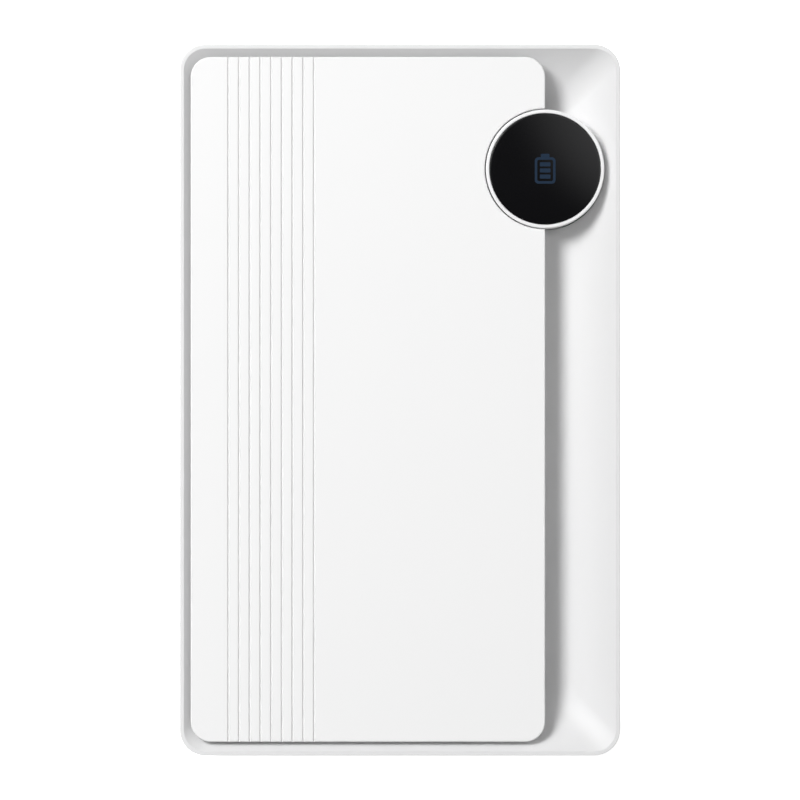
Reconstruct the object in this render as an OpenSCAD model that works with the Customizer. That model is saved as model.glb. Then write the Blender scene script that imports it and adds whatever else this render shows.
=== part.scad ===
// Hand-held power bank. It lies on its back: +Z is up out of the front, +Y is the end with the ports.
// The origin is the middle of the resting face.

/* [Case] */
// Width of the case
case_w = 70; // [64:0.5:90]
// Length of the case, port end to far end
case_l = 113; // [105:0.5:150]
// Thickness of the case, back face to rim
case_t = 21.6; // [21.2:0.1:27]
// Radius of the case's upright corners
case_corner_r = 4.1; // [3.5:0.1:6]
// Thickness of the moulded walls
wall = 1.6; // [1.2:0.1:2]
// Radius of the edge round the resting face
back_edge_r = 2.5; // [1.5:0.1:3]
// Height of the parting line above the resting face
split_z = 4; // [3.6:0.1:5]
// Width of the lip that locates the two halves
lip_w = 0.8; // [0.6:0.1:1]
// Height of the lip above the parting line
lip_h = 1.2; // [0.8:0.1:1.4]

/* [Dish] */
// Width of the flat rim round the dish
rim_w = 0.65; // [0.4:0.05:1]
// Width of the curved bank from the rim down to the dish floor
bank_w = 11.3; // [10:0.1:11.3]
// Depth of the dish floor below the rim
dish_depth = 5.2; // [4.6:0.1:5.6]
// How the bank curves: 1 is a straight slope, 2 a parabola that is level where it meets the floor
bank_curve = 2; // [1.5:0.1:2.2]
// Thickness of the dish floor
floor_t = 1.3; // [1:0.1:1.5]

/* [Front panel] */
// Space between the case's left side and the panel
panel_left = 1.75; // [1.5:0.05:3]
// Space between the case's right side and the panel
panel_right = 11.95; // [11.5:0.05:14]
// Space between the port end and the panel
panel_top = 2; // [1.6:0.05:3]
// Space between the far end and the panel
panel_bottom = 2.2; // [1.6:0.05:3]
// Radius of the panel's corners
panel_corner_r = 3.2; // [2:0.1:4]
// Radius of the panel's top edge
panel_edge_r = 0.2; // [0.1:0.05:0.4]
// Distance that the panel's edge overhangs its foot
panel_overhang = 1.4; // [0:0.1:2]
// Depth of the slope under the overhanging edge, from the panel's face
panel_undercut = 0.9; // [0.8:0.05:1.2]
// Height of the panel above the rim
panel_proud = 0.3; // [0.1:0.1:0.8]
// Thickness of the panel's face
panel_skin = 1.5; // [1.2:0.1:1.8]
// Thickness of the panel's skirt
panel_skirt = 1.2; // [1:0.1:1.5]
// Thickness of the adhesive tape under the panel
panel_tape_t = 0.2; // [0.1:0.05:0.3]
// Width of the adhesive tape
panel_tape_w = 4; // [2:0.5:5]
// Number of grooves in the panel
groove_count = 9; // [1:1:9]
// Spacing of the grooves
groove_pitch = 1.7; // [1.2:0.1:2]
// From the panel's left edge to the first groove
groove_start = 6; // [4:0.5:12]
// Width of a groove
groove_w = 0.4; // [0.2:0.1:0.8]
// Depth of a groove
groove_depth = 0.3; // [0.2:0.1:0.6]

/* [Button] */
// From the port end to the button's centre
button_from_end = 19.8; // [19.5:0.1:22]
// Outer radius of the button ring
ring_r = 9.43; // [7.8:0.01:9.6]
// Width of the white ring round the lens
ring_w = 0.59; // [0.5:0.01:0.8]
// Height of the button above the panel
button_proud = 0.2; // [0.1:0.1:1]
// Travel of the button
button_travel = 0.5; // [0.3:0.05:0.5]
// Clearance round the button
button_gap = 0.15; // [0.1:0.05:0.3]
// Thickness of the button's lens
lens_t = 1.5; // [1:0.1:1.6]
// Depth of the lens below the top of the ring
lens_sunk = 0.1; // [0.05:0.05:0.2]
// Thickness of the printed film
film_t = 0.15; // [0.1:0.05:0.2]
// Thickness of the light guide's disc
guide_t = 1.5; // [1:0.1:1.5]
// Radius of the light guide's stem
stem_r = 1.8; // [1.2:0.1:2]
// Radius of the posts that guide the button
post_r = 0.8; // [0.6:0.1:1]
// Running clearance of the guide posts and of the switch plunger
running_gap = 0.08; // [0.05:0.01:0.1]
// Wire radius of the return spring
spring_wire_r = 0.2; // [0.15:0.05:0.25]
// Mean radius of the return spring
spring_r = 3; // [2.6:0.1:3.4]
// Number of turns of the return spring
spring_turns = 4; // [3:1:5]

/* [Cells] */
// Width of a pouch cell
cell_w = 61; // [50:1:61]
// Length of a pouch cell
cell_l = 70.4; // [60:0.4:70.4]
// Thickness of a pouch cell
cell_t = 6; // [5:0.1:6]
// Thickness of the tape between the cells
cell_tape_t = 0.3; // [0.2:0.1:0.4]
// Thickness of the foam under the cells
foam_t = 0.6; // [0.4:0.1:0.8]
// Outer radius of the battery leads
lead_r = 0.6; // [0.4:0.1:0.7]

/* [Board and ports] */
// Thickness of the main board
board_t = 1; // [0.8:0.1:1.6]
// Height of the main board's top above the resting face
board_top = 7.2; // [6.8:0.1:7.4]
// Width of the USB-C shell
usb_c_w = 8.94; // [8.94]
// Height of the USB-C shell
usb_c_h = 3.26; // [3.26]
// Length of the USB-C shell
usb_c_l = 7.3; // [6.5:0.1:8]
// Place of the USB-C socket across the case
usb_c_x = 14; // [13.5:0.1:14.5]
// Width of a USB-A shell
usb_a_w = 13.1; // [13.1]
// Height of a USB-A shell
usb_a_h = 5.7; // [5.7]
// Length of a USB-A shell
usb_a_l = 14; // [12:0.1:14]
// Place of the left USB-A socket across the case
usb_a_left_x = -20; // [-20.5:0.1:-19.5]
// Place of the right USB-A socket across the case
usb_a_right_x = -2; // [-3:0.1:-1.5]
// Thickness of the sockets' sheet metal
sheet_t = 0.3; // [0.2:0.05:0.35]
// Clearance round the sockets in the case wall
port_gap = 0.25; // [0.15:0.05:0.3]

/* [Screws] */
// Thread radius of the screws
screw_r = 0.95; // [0.8:0.05:1]
// Head radius of the screws
head_r = 1.9; // [1.6:0.1:2]
// Head height of the screws
head_h = 1.2; // [1:0.1:1.4]
// Radius of the screw bosses
boss_r = 2.1; // [1.9:0.1:2.2]
// Length of the case screws under the head
case_screw_l = 6.5; // [5:0.5:8]
// Length of the board screws under the head
board_screw_l = 5; // [4:0.5:6]

/* [Hidden] */

$fn = 64;
e = 0.01;              // overshoot of cuts, so that they break the surface
corner_steps = 8;      // facets of a lofted corner
bank_steps = 10;       // facets of the dish's bank
edge_steps = 4;        // facets of a small rounded edge
thread_gap = 0.02;     // radial gap between a screw and its pilot hole
hole_gap = 0.25;       // radial gap of a screw's through hole
seat_gap = 0.15;       // gap between the panel and the dish's bank
fit_gap = 0.05;        // gap between parts that locate each other
stop_gap = 0.05;       // gap at the button's upper stop
boss_gap = 0.1;        // gap over the case bosses, so that the screws pull the halves together
pilot_spare = 0.5;     // pilot hole beyond the end of its screw

// Heights
panel_z = case_t + panel_proud;
button_z = panel_z + button_proud;
dish_z = case_t - dish_depth;
ceiling_z = dish_z - floor_t;
root_z = case_t - wall;  // bosses and posts run up to here, and the dish cuts them to its surface
lens_z = button_z - lens_sunk;
film_z = lens_z - lens_t - film_t;
guide_z = film_z - guide_t;
board_z = board_top - board_t;
port_z = board_top + usb_c_h / 2;
lower_cell_z = wall + foam_t;
cell_tape_z = lower_cell_z + cell_t;
upper_cell_z = cell_tape_z + cell_tape_t;
top_foam_z = upper_cell_z + cell_t;

// Case and cavity
case_end = case_l / 2;
cavity_x = case_w / 2 - wall;
cavity_y = case_end - wall;
inner_corner_r = case_corner_r - wall;
lip_x = cavity_x - lip_w;
lip_y = cavity_y - lip_w;
hook_x = 29;           // hooks of the lip, either side of the middle
hook_w = 4;
hook_t = 0.5;
hook_out = 0.6;        // reach of a hook into the wall
hook_rise = 0.5;       // hook above the parting line

// Panel and button
panel_w = case_w - panel_left - panel_right;
panel_l = case_l - panel_top - panel_bottom;
panel_x = (panel_left - panel_right) / 2;
panel_y = (panel_bottom - panel_top) / 2;
panel_left_x = -case_w / 2 + panel_left;
panel_in = panel_overhang + panel_skirt; // from the panel's edge to its hollow
button_x = case_w / 2 - panel_right;
button_y = case_end - button_from_end;
hole_r = ring_r + button_gap;
hole_boss_w = 1.9;     // thick edge under the dish round the button's hole
dish_corner_r = 2.6;   // corner radius of the dish floor
tape_inset = 0.25;     // tape inside the edge of the dish floor
tape_corner_r = dish_corner_r - tape_inset;
tape_right = 4;        // tape inside the panel's right edge

// Cells, then a strip with screws and the protection board, then the main board
far_room = 6.5;        // from the far wall to the cells
strip_w = 5.6;         // from the cells to the main board
cells_end_y = -cavity_y + far_room + cell_l;
cell_y = cells_end_y - cell_l / 2;
cell_edge_r = 1.6;     // round long edges of a pouch
foam_margin = 4;       // foam inside the cell's edge
tape_margin = 6;       // tape inside the cell's edge
strip_y = cells_end_y + strip_w / 2;
board_front_y = cells_end_y + strip_w;
board_back_y = cavity_y - 0.3;
board_w = 2 * cavity_x - 1.8;
board_l = board_back_y - board_front_y;
board_y = (board_back_y + board_front_y) / 2;
board_corner_r = 1.5;

// Protection board with its tabs, leads and sensor
protect_t = 0.8;
protect_l = 3.4;
protect_y = cells_end_y + 0.9;
protect_z = board_top + 0.8;
protect_x0 = -21;
protect_x1 = button_x - 14.7;
tab_places = [-17.5, -8.5];
tab_w = 5;
tab_t = 0.2;
tab_reach = 2.2;
lower_tab_z = lower_cell_z + cell_t / 2;
upper_tab_z = upper_cell_z + cell_t / 2;
red_lead_x = -1;
black_lead_x = 1.7;
lead_bend_r = 1.2;
lead_start_y = cells_end_y + 1.6;
lead_end_y = board_front_y + 1.6;
sensor_in = 2.3;       // sensor from the end of the protection board
sensor_r = 0.75;
sensor_l = 3.2;
sensor_leg_r = 0.22;

// Case screws stand outside the cells and the tape, under the panel; board screws near the board's corners
case_boss_in = 3.4;    // left case screws from the side wall
far_boss_in = 2.5;     // far case screws from the far wall
left_boss_x = -cavity_x + case_boss_in;
far_boss_y = -cavity_y + far_boss_in;
case_screw_places = [
    [left_boss_x, far_boss_y], [button_x - 4.6, far_boss_y],
    [left_boss_x, strip_y], [button_x - 11.1, strip_y]
];
screw_seat_z = dish_z - 0.4;
board_boss_x = cavity_x - 3.5;
board_boss_front_y = board_front_y + 2.6;
board_boss_back_y = cavity_y - 3.7;
board_screw_places = [
    [-board_boss_x, board_boss_front_y], [button_x - 15, board_boss_front_y],
    [-board_boss_x, board_boss_back_y], [board_boss_x, board_boss_back_y]
];

// Push switch, and over it the bridge with the display board
switch_w = 6;
switch_h = 3.5;
plunger_r = 1.6;
plunger_l = 2;
plunger_up = 0.7;      // plunger above its switch
free_play = 0.1;       // between the light guide's stem and the plunger
carrier_w = 13;
carrier_t = 1;
carrier_leg_r = 1;
carrier_play = 0.4;    // round the stem, and between the plunger's top and the bridge
display_t = 0.8;
led_w = 1.6;
led_h = 0.7;
led_ring_r = 4.9;
pin_r = 0.3;
pin_pitch = 1.8;
switch_z = board_top + switch_h;
plunger_z = switch_z + plunger_up;
stem_z = plunger_z + free_play;
carrier_z = plunger_z + 0.6;
display_z = carrier_z + display_t;
pin_y = -(carrier_w / 2 - 1);
pin_places = [for (i = [-1.5:1:1.5]) [i * pin_pitch, pin_y]];

// Ears of the button ring, which slide on two posts
ear_w = 6;
ear_l = 3.1;
ear_t = 1.2;
ear_z = ceiling_z - stop_gap - ear_t;
ear_post = ring_r + 1.8;
guide_post_places = [for (side = [-1, 1]) [button_x, button_y + side * ear_post]];
ledge_w = 0.95;        // ledge inside the ring, which the film and lens rest on

// Sockets
socket_out = case_end - 0.3;   // mouth of the sockets, just inside the wall's face
usb_a_corner_r = 0.4;
usb_c_corner_r = usb_c_h / 2 - e;
wing_w = 1.2;
wing_l = 1.8;

white = "whitesmoke";
board_green = "darkgreen";
steel = "silver";

// ---------- Shapes ----------

// Points round a rectangle with round corners
function outline(w, l, r) = [
    for (c = [0:3], i = [0:corner_steps])
        let (a = 90 * (c + i / corner_steps))
        let (sx = (c == 0 || c == 3) ? 1 : -1, sy = c < 2 ? 1 : -1)
        [sx * (w / 2 - r) + r * cos(a), sy * (l / 2 - r) + r * sin(a)]
];

// Solid through rings of round-cornered rectangles; each ring is [width, length, corner radius, height]
module loft(rings) {
    n = 4 * (corner_steps + 1);
    top = len(rings) - 1;
    points = [for (g = rings, p = outline(g[0], g[1], g[2])) [p[0], p[1], g[3]]];
    rise = [
        for (k = [0:top - 1], i = [0:n - 1], half = [0, 1])
            let (a = k * n + i, b = k * n + (i + 1) % n)
            half == 0 ? [a, a + n, b + n] : [a, b + n, b]
    ];
    base = [for (i = [0:n - 1]) i];
    lid = [for (i = [n - 1:-1:0]) top * n + i];
    polyhedron(points, concat([base, lid], rise), convexity = 4);
}

// Flat rectangle with true round corners, centred
module round_rect(w, l, r) {
    square([w - 2 * r, l], center = true);
    square([w, l - 2 * r], center = true);
    for (sx = [-1, 1], sy = [-1, 1])
        translate([sx * (w / 2 - r), sy * (l / 2 - r)]) circle(r);
}

// Plate with true round corners, from z0 to z1
module slab(w, l, r, z0, z1) {
    translate([0, 0, z0]) linear_extrude(z1 - z0) round_rect(w, l, r);
}

// Upright cylinder from z0 to z1
module rod(r, z0, z1) {
    translate([0, 0, z0]) cylinder(r = r, h = z1 - z0);
}

// Box centred on x and y, from z0 to z1
module block(w, l, z0, z1) {
    translate([-w / 2, -l / 2, z0]) cube([w, l, z1 - z0]);
}

module at(places) {
    for (p = places) translate([p[0], p[1], 0]) children();
}

module at_button() {
    translate([button_x, button_y, 0]) children();
}

// Height of the dish's bank at a distance inside the rim
function bank_drop(s) = dish_depth * (1 - pow(1 - s / bank_w, bank_curve));

// The space of the dish, moved down by `drop`, shrunk or grown by `grow` at every ring
module dish(drop = 0, grow = 0, lift = 3) {
    w = case_w - 2 * rim_w + 2 * grow;
    l = case_l - 2 * rim_w + 2 * grow;
    r = case_corner_r - rim_w + grow;
    steps = [for (k = [bank_steps:-1:0]) k / bank_steps];
    bank = [
        for (f = steps)
            let (s = f * bank_w)
            [w - 2 * s, l - 2 * s, r + (dish_corner_r - r) * f, case_t - bank_drop(s) - drop]
    ];
    loft(concat(bank, [[w, l, r, case_t - drop + lift]]));
}

// Plate with a rounded top edge that overhangs its foot: the foot is set in by `reach` up to z2
module eased_plate(w, l, r, edge, reach, z0, z2, z1) {
    foot = [for (z = [z0, z2]) [w - 2 * reach, l - 2 * reach, r - reach, z]];
    arc = [
        for (i = [0:edge_steps])
            let (a = 90 * i / edge_steps, d = edge * (1 - cos(a)))
            [w - 2 * d, l - 2 * d, r - d, z1 - edge + edge * sin(a)]
    ];
    loft(concat(foot, arc));
}

// Screw with a flat round head, its seat at z = 0 and its thread downwards; the drive is a cross
module screw(length, head_up = true) {
    side = head_up ? 1 : -1;
    scale([1, 1, side]) difference() {
        union() {
            cylinder(r = head_r, h = head_h);
            rod(screw_r, -length, e);
        }
        for (a = [0, 90])
            rotate([0, 0, a]) block(head_r * 1.2, head_r * 0.28, head_h * 0.45, head_h + e);
    }
}

// ---------- Case ----------

module back_shell() {
    color(white) {
        difference() {
            union() {
                loft(concat([
                    for (i = [0:edge_steps + 1])
                        let (a = 90 * i / (edge_steps + 1), d = back_edge_r * (1 - sin(a)))
                        [case_w - 2 * d, case_l - 2 * d, case_corner_r - d, back_edge_r * (1 - cos(a))]
                ], [[case_w, case_l, case_corner_r, split_z]]));
                lip();
            }
            slab(2 * lip_x, 2 * lip_y, inner_corner_r - lip_w, wall, split_z + lip_h + e);
        }
        at(case_screw_places) case_boss();
    }
}

// Lip with two hooks at the port end that reach into the front housing's wall
module lip() {
    slab(2 * (cavity_x - fit_gap), 2 * (cavity_y - fit_gap), inner_corner_r - fit_gap, wall, split_z + lip_h);
    hooks(0);
}

// The two hooks, or with some play the pockets that take them
module hooks(play) {
    z = split_z + hook_rise;
    at([[-hook_x, cavity_y], [hook_x, cavity_y]])
        block(hook_w + 2 * play, 2 * (hook_out + play), z - play, z + hook_t + play);
}

module case_boss() {
    difference() {
        rod(boss_r, wall - e, ceiling_z - boss_gap);
        rod(screw_r + thread_gap, screw_seat_z - case_screw_l - pilot_spare, ceiling_z);
    }
}

module front_housing() {
    color(white) {
        difference() {
            union() {
                difference() {
                    slab(case_w, case_l, case_corner_r, split_z, case_t);
                    difference() {
                        slab(2 * cavity_x, 2 * cavity_y, inner_corner_r, split_z - e, case_t - wall);
                        dish(floor_t, rim_w);
                    }
                }
                at_button() rod(hole_r + hole_boss_w, ceiling_z, root_z);
                at(case_screw_places) rod(head_r + wall / 2, ceiling_z, root_z);
                at(board_screw_places) rod(boss_r, board_top, root_z);
                at(guide_post_places) rod(post_r, ear_z - button_travel - post_r / 2, root_z);
            }
            dish();
            at_button() rod(hole_r, ceiling_z - e, button_z);
            at(case_screw_places) {
                rod(head_r + hole_gap, screw_seat_z, case_t);
                rod(screw_r + hole_gap, ceiling_z - e, screw_seat_z + e);
            }
            at(board_screw_places)
                rod(screw_r + thread_gap, board_top - e, board_z + board_screw_l + pilot_spare);
            port_cuts();
            hooks(2 * fit_gap);
        }
    }
}

// Openings for the sockets in the port-end wall
module port_cuts() {
    grown = 2 * port_gap;
    translate([usb_c_x, case_end + e, port_z])
        slot(usb_c_w + grown, usb_c_h + grown, usb_c_corner_r + port_gap, wall + 2 * e);
    for (x = [usb_a_left_x, usb_a_right_x])
        translate([x, case_end + e, port_z])
            slot(usb_a_w + grown, usb_a_h + grown, usb_a_corner_r + port_gap, wall + 2 * e);
}

// Round-cornered bar along -Y from its origin: w wide, h high
module slot(w, h, r, length) {
    rotate([90, 0, 0]) linear_extrude(length) round_rect(w, h, r);
}

// ---------- Front panel ----------

module front_panel() {
    color(white) difference() {
        intersection() {
            translate([panel_x, panel_y, 0])
                eased_plate(panel_w, panel_l, panel_corner_r, panel_edge_r, panel_overhang,
                    dish_z + panel_tape_t, panel_z - panel_undercut, panel_z);
            dish(-seat_gap);
        }
        difference() {
            translate([panel_x, panel_y, 0])
                slab(panel_w - 2 * panel_in, panel_l - 2 * panel_in, panel_corner_r - panel_in,
                    dish_z - e, panel_z - panel_skin);
            tape_frame(dish_z, panel_z);
            at_button() rod(hole_r + panel_skirt, dish_z - 2 * e, panel_z);
        }
        at_button() rod(hole_r, dish_z - e, button_z);
        for (i = [0:groove_count - 1])
            translate([panel_left_x + groove_start + i * groove_pitch, panel_y, panel_z]) groove();
    }
}

// V-shaped cut along the whole panel
module groove() {
    half = groove_w / 2;
    rotate([90, 0, 0]) linear_extrude(panel_l + 2 * e, center = true)
        polygon([[-half, 0], [0, -groove_depth], [half, 0], [half, half], [-half, half]]);
}

// Frame that the tape covers on the flat floor of the dish, with room round the button
module tape_frame(z0, z1) {
    inset = rim_w + bank_w + tape_inset;
    x0 = -case_w / 2 + inset;
    x1 = button_x - tape_right;
    l = case_l - 2 * inset;
    w = x1 - x0;
    difference() {
        translate([(x0 + x1) / 2, 0, 0]) difference() {
            slab(w, l, tape_corner_r, z0, z1);
            slab(w - 2 * panel_tape_w, l - 2 * panel_tape_w, tape_corner_r, z0 - e, z1 + e);
        }
        at_button() rod(hole_r + panel_skirt / 2, z0 - e, z1 + e);
    }
}

module panel_tape() {
    color("gray") tape_frame(dish_z, dish_z + panel_tape_t);
}

// ---------- Cells ----------

// Pouch cell: its long edges are round
module cell(z) {
    translate([0, cells_end_y, z + cell_t / 2]) rotate([90, 0, 0])
        linear_extrude(cell_l) round_rect(cell_w, cell_t, cell_edge_r);
}

module lower_cell() {
    color("silver") cell(lower_cell_z);
}

module upper_cell() {
    color("silver") cell(upper_cell_z);
}

module cell_tape() {
    color("gold") translate([0, cell_y, 0])
        slab(cell_w - 2 * tape_margin, cell_l - 2 * tape_margin, 2, cell_tape_z, upper_cell_z);
}

module bottom_foam_pad() {
    color("dimgray") translate([0, cell_y, 0])
        slab(cell_w - 2 * foam_margin, cell_l - 2 * foam_margin, 2, wall, lower_cell_z);
}

module top_foam_pad() {
    color("dimgray") translate([0, cell_y, 0])
        slab(cell_w - 2 * foam_margin, cell_l - 2 * foam_margin, 2, top_foam_z, ceiling_z);
}

module cell_tabs() {
    color("lightgray") for (x = tab_places) translate([x, cells_end_y, 0]) {
        cell_tab(lower_tab_z, protect_z);
        cell_tab(upper_tab_z, protect_z + protect_t);
    }
}

// Strip that leaves the cell at z_cell and turns up or down to the protection board at z_board
module cell_tab(z_cell, z_board) {
    low = min(z_cell, z_board);
    high = max(z_cell, z_board);
    translate([-tab_w / 2, 0, z_cell - tab_t / 2]) cube([tab_w, tab_reach, tab_t]);
    translate([-tab_w / 2, tab_reach - tab_t, low]) cube([tab_w, tab_t, high - low]);
}

module protection_board() {
    color(board_green) {
        translate([protect_x0, protect_y, protect_z]) cube([protect_x1 - protect_x0, protect_l, protect_t]);
        translate([-14.5, protect_y + 1.7, protect_z + protect_t - e]) cube([3, 1.5, 0.8]);
        translate([-4.8, protect_y + 0.6, protect_z + protect_t - e]) cube([2, 1.5, 0.6]);
    }
}

// Lead from the protection board over to the main board, where it turns down
module battery_lead(x) {
    z = protect_z + protect_t + lead_r;
    bend_y = lead_end_y - lead_bend_r;
    translate([x, lead_start_y, z]) rotate([-90, 0, 0]) cylinder(r = lead_r, h = bend_y - lead_start_y);
    translate([x, bend_y, z - lead_bend_r]) rotate([0, -90, 0])
        rotate_extrude(angle = 90) translate([lead_bend_r, 0]) circle(lead_r);
    translate([x, lead_end_y, board_top]) cylinder(r = lead_r, h = z - lead_bend_r - board_top);
}

module battery_lead_red() {
    color("red") battery_lead(red_lead_x);
}

module battery_lead_black() {
    color("black") battery_lead(black_lead_x);
}

module thermistor() {
    color("saddlebrown") translate([protect_x1 - sensor_in, cells_end_y + fit_gap, 0]) {
        translate([-sensor_l / 2, sensor_r, upper_tab_z]) rotate([0, 90, 0])
            cylinder(r = sensor_r, h = sensor_l);
        for (side = [-1, 1])
            translate([side * sensor_r, sensor_r + 2 * sensor_leg_r, 0])
                rod(sensor_leg_r, protect_z + protect_t, upper_tab_z);
    }
}

// ---------- Board and ports ----------

module main_board() {
    notch_l = usb_a_l + case_end - socket_out + port_gap;
    color(board_green) difference() {
        translate([0, board_y, 0]) slab(board_w, board_l, board_corner_r, board_z, board_top);
        at(board_screw_places) rod(screw_r + hole_gap, board_z - e, board_top + e);
        for (x = [usb_a_left_x, usb_a_right_x])
            translate([x, case_end - notch_l / 2, 0])
                block(usb_a_w + 2 * port_gap, notch_l, board_z - e, board_top + e);
    }
}

module board_screws() {
    color(steel) at(board_screw_places) translate([0, 0, board_z]) screw(board_screw_l, head_up = false);
}

module case_screws() {
    color(steel) at(case_screw_places) translate([0, 0, screw_seat_z]) screw(case_screw_l);
}

// Sheet-metal socket shell, open at the port end and closed at the back
module socket_shell(x, w, h, r, length) {
    color(steel) translate([x, socket_out, port_z]) difference() {
        slot(w, h, r, length);
        translate([0, e, 0])
            slot(w - 2 * sheet_t, h - 2 * sheet_t, max(r - sheet_t, 0.1), length - sheet_t + e);
    }
}

// USB-A shell, sunk in the board's notch: two wings on each side lie on the board and are soldered there
module usb_a_shell(x) {
    socket_shell(x, usb_a_w, usb_a_h, usb_a_corner_r, usb_a_l);
    color(steel) for (side = [-1, 1], y = [2 * wing_l, usb_a_l - 2 * wing_l])
        translate([x + side * (usb_a_w / 2 + wing_w / 2 - sheet_t / 2), socket_out - y, 0])
            block(wing_w + sheet_t, wing_l, board_top, board_top + sheet_t);
}

module usb_c_shell() {
    socket_shell(usb_c_x, usb_c_w, usb_c_h, usb_c_corner_r, usb_c_l);
}

// Tongue on a base that fills the back of the shell; tongue_out is how far it stops short of the mouth
module socket_tongue(x, w, h, r, length, base_l, tongue_w, tongue_t, tongue_out, tongue_dz) {
    inner = length - sheet_t;
    color("dimgray") translate([x, socket_out, port_z]) {
        translate([0, -inner + base_l, 0])
            slot(w - 2 * sheet_t - 2 * fit_gap, h - 2 * sheet_t - 2 * fit_gap, r, base_l);
        translate([-tongue_w / 2, -inner + base_l - e, tongue_dz - tongue_t / 2])
            cube([tongue_w, inner - base_l - tongue_out, tongue_t]);
    }
}

module usb_c_tongue() {
    socket_tongue(usb_c_x, usb_c_w, usb_c_h, usb_c_corner_r - sheet_t - fit_gap, usb_c_l,
        base_l = 1.6, tongue_w = 6.7, tongue_t = 0.7, tongue_out = 0.9, tongue_dz = 0);
}

module usb_a_shell_left() {
    usb_a_shell(usb_a_left_x);
}

module usb_a_shell_right() {
    usb_a_shell(usb_a_right_x);
}

module usb_a_tongue(x) {
    socket_tongue(x, usb_a_w, usb_a_h, 0.2, usb_a_l,
        base_l = 4.5, tongue_w = 11.1, tongue_t = 1.85, tongue_out = 0.9, tongue_dz = 1.1);
}

module usb_a_tongue_left() {
    usb_a_tongue(usb_a_left_x);
}

module usb_a_tongue_right() {
    usb_a_tongue(usb_a_right_x);
}

module power_inductor() {
    color("dimgray") translate([usb_a_left_x, board_front_y + 7.2, 0]) {
        slab(7.4, 7.4, 1, board_top, board_top + 3);
        rod(2.6, board_top + 3 - e, board_top + 3.3);
    }
}

module charger_chip() {
    color("black") translate([button_x - 13.1, board_front_y + 8.4, 0])
        slab(5, 5, 0.2, board_top, board_top + 0.9);
}

module controller_chip() {
    color("black") translate([-10.5, board_front_y + 3.6, 0]) slab(6, 4, 0.2, board_top, board_top + 1.1);
}

module capacitors() {
    color("lightgray") for (x = [-10.6:6:1.4])
        translate([x, board_front_y + 9.6, 0]) rod(2.5, board_top, board_top + 5.4);
}

module small_chips() {
    color("tan") {
        for (i = [0:4]) translate([usb_c_x - 7.2 + i * 2, case_end - 11.2, 0]) chip(1.1, 1.8);
        for (i = [0:3]) translate([-board_w / 2 + 2, board_front_y + 8 + i * 2, 0]) chip(1.8, 1.1);
        for (i = [0:2]) translate([button_x - 16.2 + i * 2, board_front_y + 13.4, 0]) chip(1.1, 1.8);
    }
}

module chip(w, l) {
    block(w, l, board_top, board_top + 0.7);
}

// ---------- Switch and display ----------

module tact_switch_body() {
    color("dimgray") at_button() difference() {
        slab(switch_w, switch_w, 0.5, board_top, switch_z);
        rod(plunger_r + running_gap, plunger_z - plunger_l - button_travel - running_gap, switch_z + e);
    }
}

module switch_plunger() {
    color("black") at_button() rod(plunger_r, plunger_z - plunger_l, plunger_z);
}

// Bridge over the switch: a plate on four legs
module display_carrier() {
    leg_place = carrier_w / 2 - carrier_leg_r;
    color("white") at_button() {
        difference() {
            slab(carrier_w, carrier_w, 1, carrier_z - carrier_t, carrier_z);
            rod(max(stem_r, plunger_r) + carrier_play, carrier_z - carrier_t - e, carrier_z + e);
            translate([0, pin_y, 0]) block(4 * pin_pitch, 2.2, carrier_z - carrier_t - e, carrier_z + e);
        }
        for (sx = [-1, 1], sy = [-1, 1])
            translate([sx * leg_place, sy * leg_place, 0])
                rod(carrier_leg_r, board_top, carrier_z - carrier_t + e);
    }
}

module display_board() {
    color(board_green) at_button() difference() {
        slab(carrier_w - 1, carrier_w - 1, 1, carrier_z, display_z);
        rod(stem_r + carrier_play, carrier_z - e, display_z + e);
        at(pin_places) rod(pin_r + 0.1, carrier_z - e, display_z + e);
    }
}

module display_leds() {
    color("lightyellow") at_button() for (a = [45:90:315])
        rotate([0, 0, a]) translate([led_ring_r, 0, 0]) block(led_w, led_w, display_z, display_z + led_h);
}

module display_pins() {
    color("gold") at_button() at(pin_places) rod(pin_r, board_top, display_z + pin_r);
}

// Coil spring, swept as one tube along a helix
module button_spring() {
    sides = 8;
    per_turn = 18;
    rings = per_turn * spring_turns + 1;
    low = display_z + spring_wire_r;
    rise = guide_z - spring_wire_r - low;
    points = [
        for (k = [0:rings - 1], j = [0:sides - 1])
            let (a = 360 * k / per_turn, b = 360 * j / sides, r = spring_r + spring_wire_r * cos(b))
            [r * cos(a), r * sin(a), low + rise * k / (rings - 1) + spring_wire_r * sin(b)]
    ];
    skin = [
        for (k = [0:rings - 2], j = [0:sides - 1], half = [0, 1])
            let (a = k * sides + j, b = k * sides + (j + 1) % sides)
            half == 0 ? [a, b, b + sides] : [a, b + sides, a + sides]
    ];
    caps = [[for (j = [sides - 1:-1:0]) j], [for (j = [0:sides - 1]) (rings - 1) * sides + j]];
    color(steel) at_button() polyhedron(points, concat(caps, skin), convexity = 8);
}

// ---------- Button ----------

// White ring: a sleeve with a ledge for the film and lens, a rounded top and two guided ears
module button_ring() {
    top_r = 0.35;
    inner_r = ring_r - ring_w + fit_gap;
    ledge_r = inner_r - ledge_w;
    color(white) at_button() {
        rotate_extrude(convexity = 4) polygon(concat(
            [[ledge_r, ear_z], [ring_r, ear_z]],
            [for (i = [0:edge_steps]) let (a = 90 * i / edge_steps)
                [ring_r - top_r + top_r * cos(a), button_z - top_r + top_r * sin(a)]],
            [[inner_r, button_z], [inner_r, film_z], [ledge_r, film_z]]
        ));
        for (side = [-1, 1]) difference() {
            translate([0, side * (ring_r + ear_l / 2 - ring_w), 0])
                block(ear_w, ear_l + ring_w, ear_z, ear_z + ear_t);
            translate([0, side * ear_post, 0]) rod(post_r + running_gap, ear_z - e, ear_z + ear_t + e);
            rod(ring_r - ring_w / 2, ear_z - e, ear_z + ear_t + e);
        }
    }
}

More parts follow.
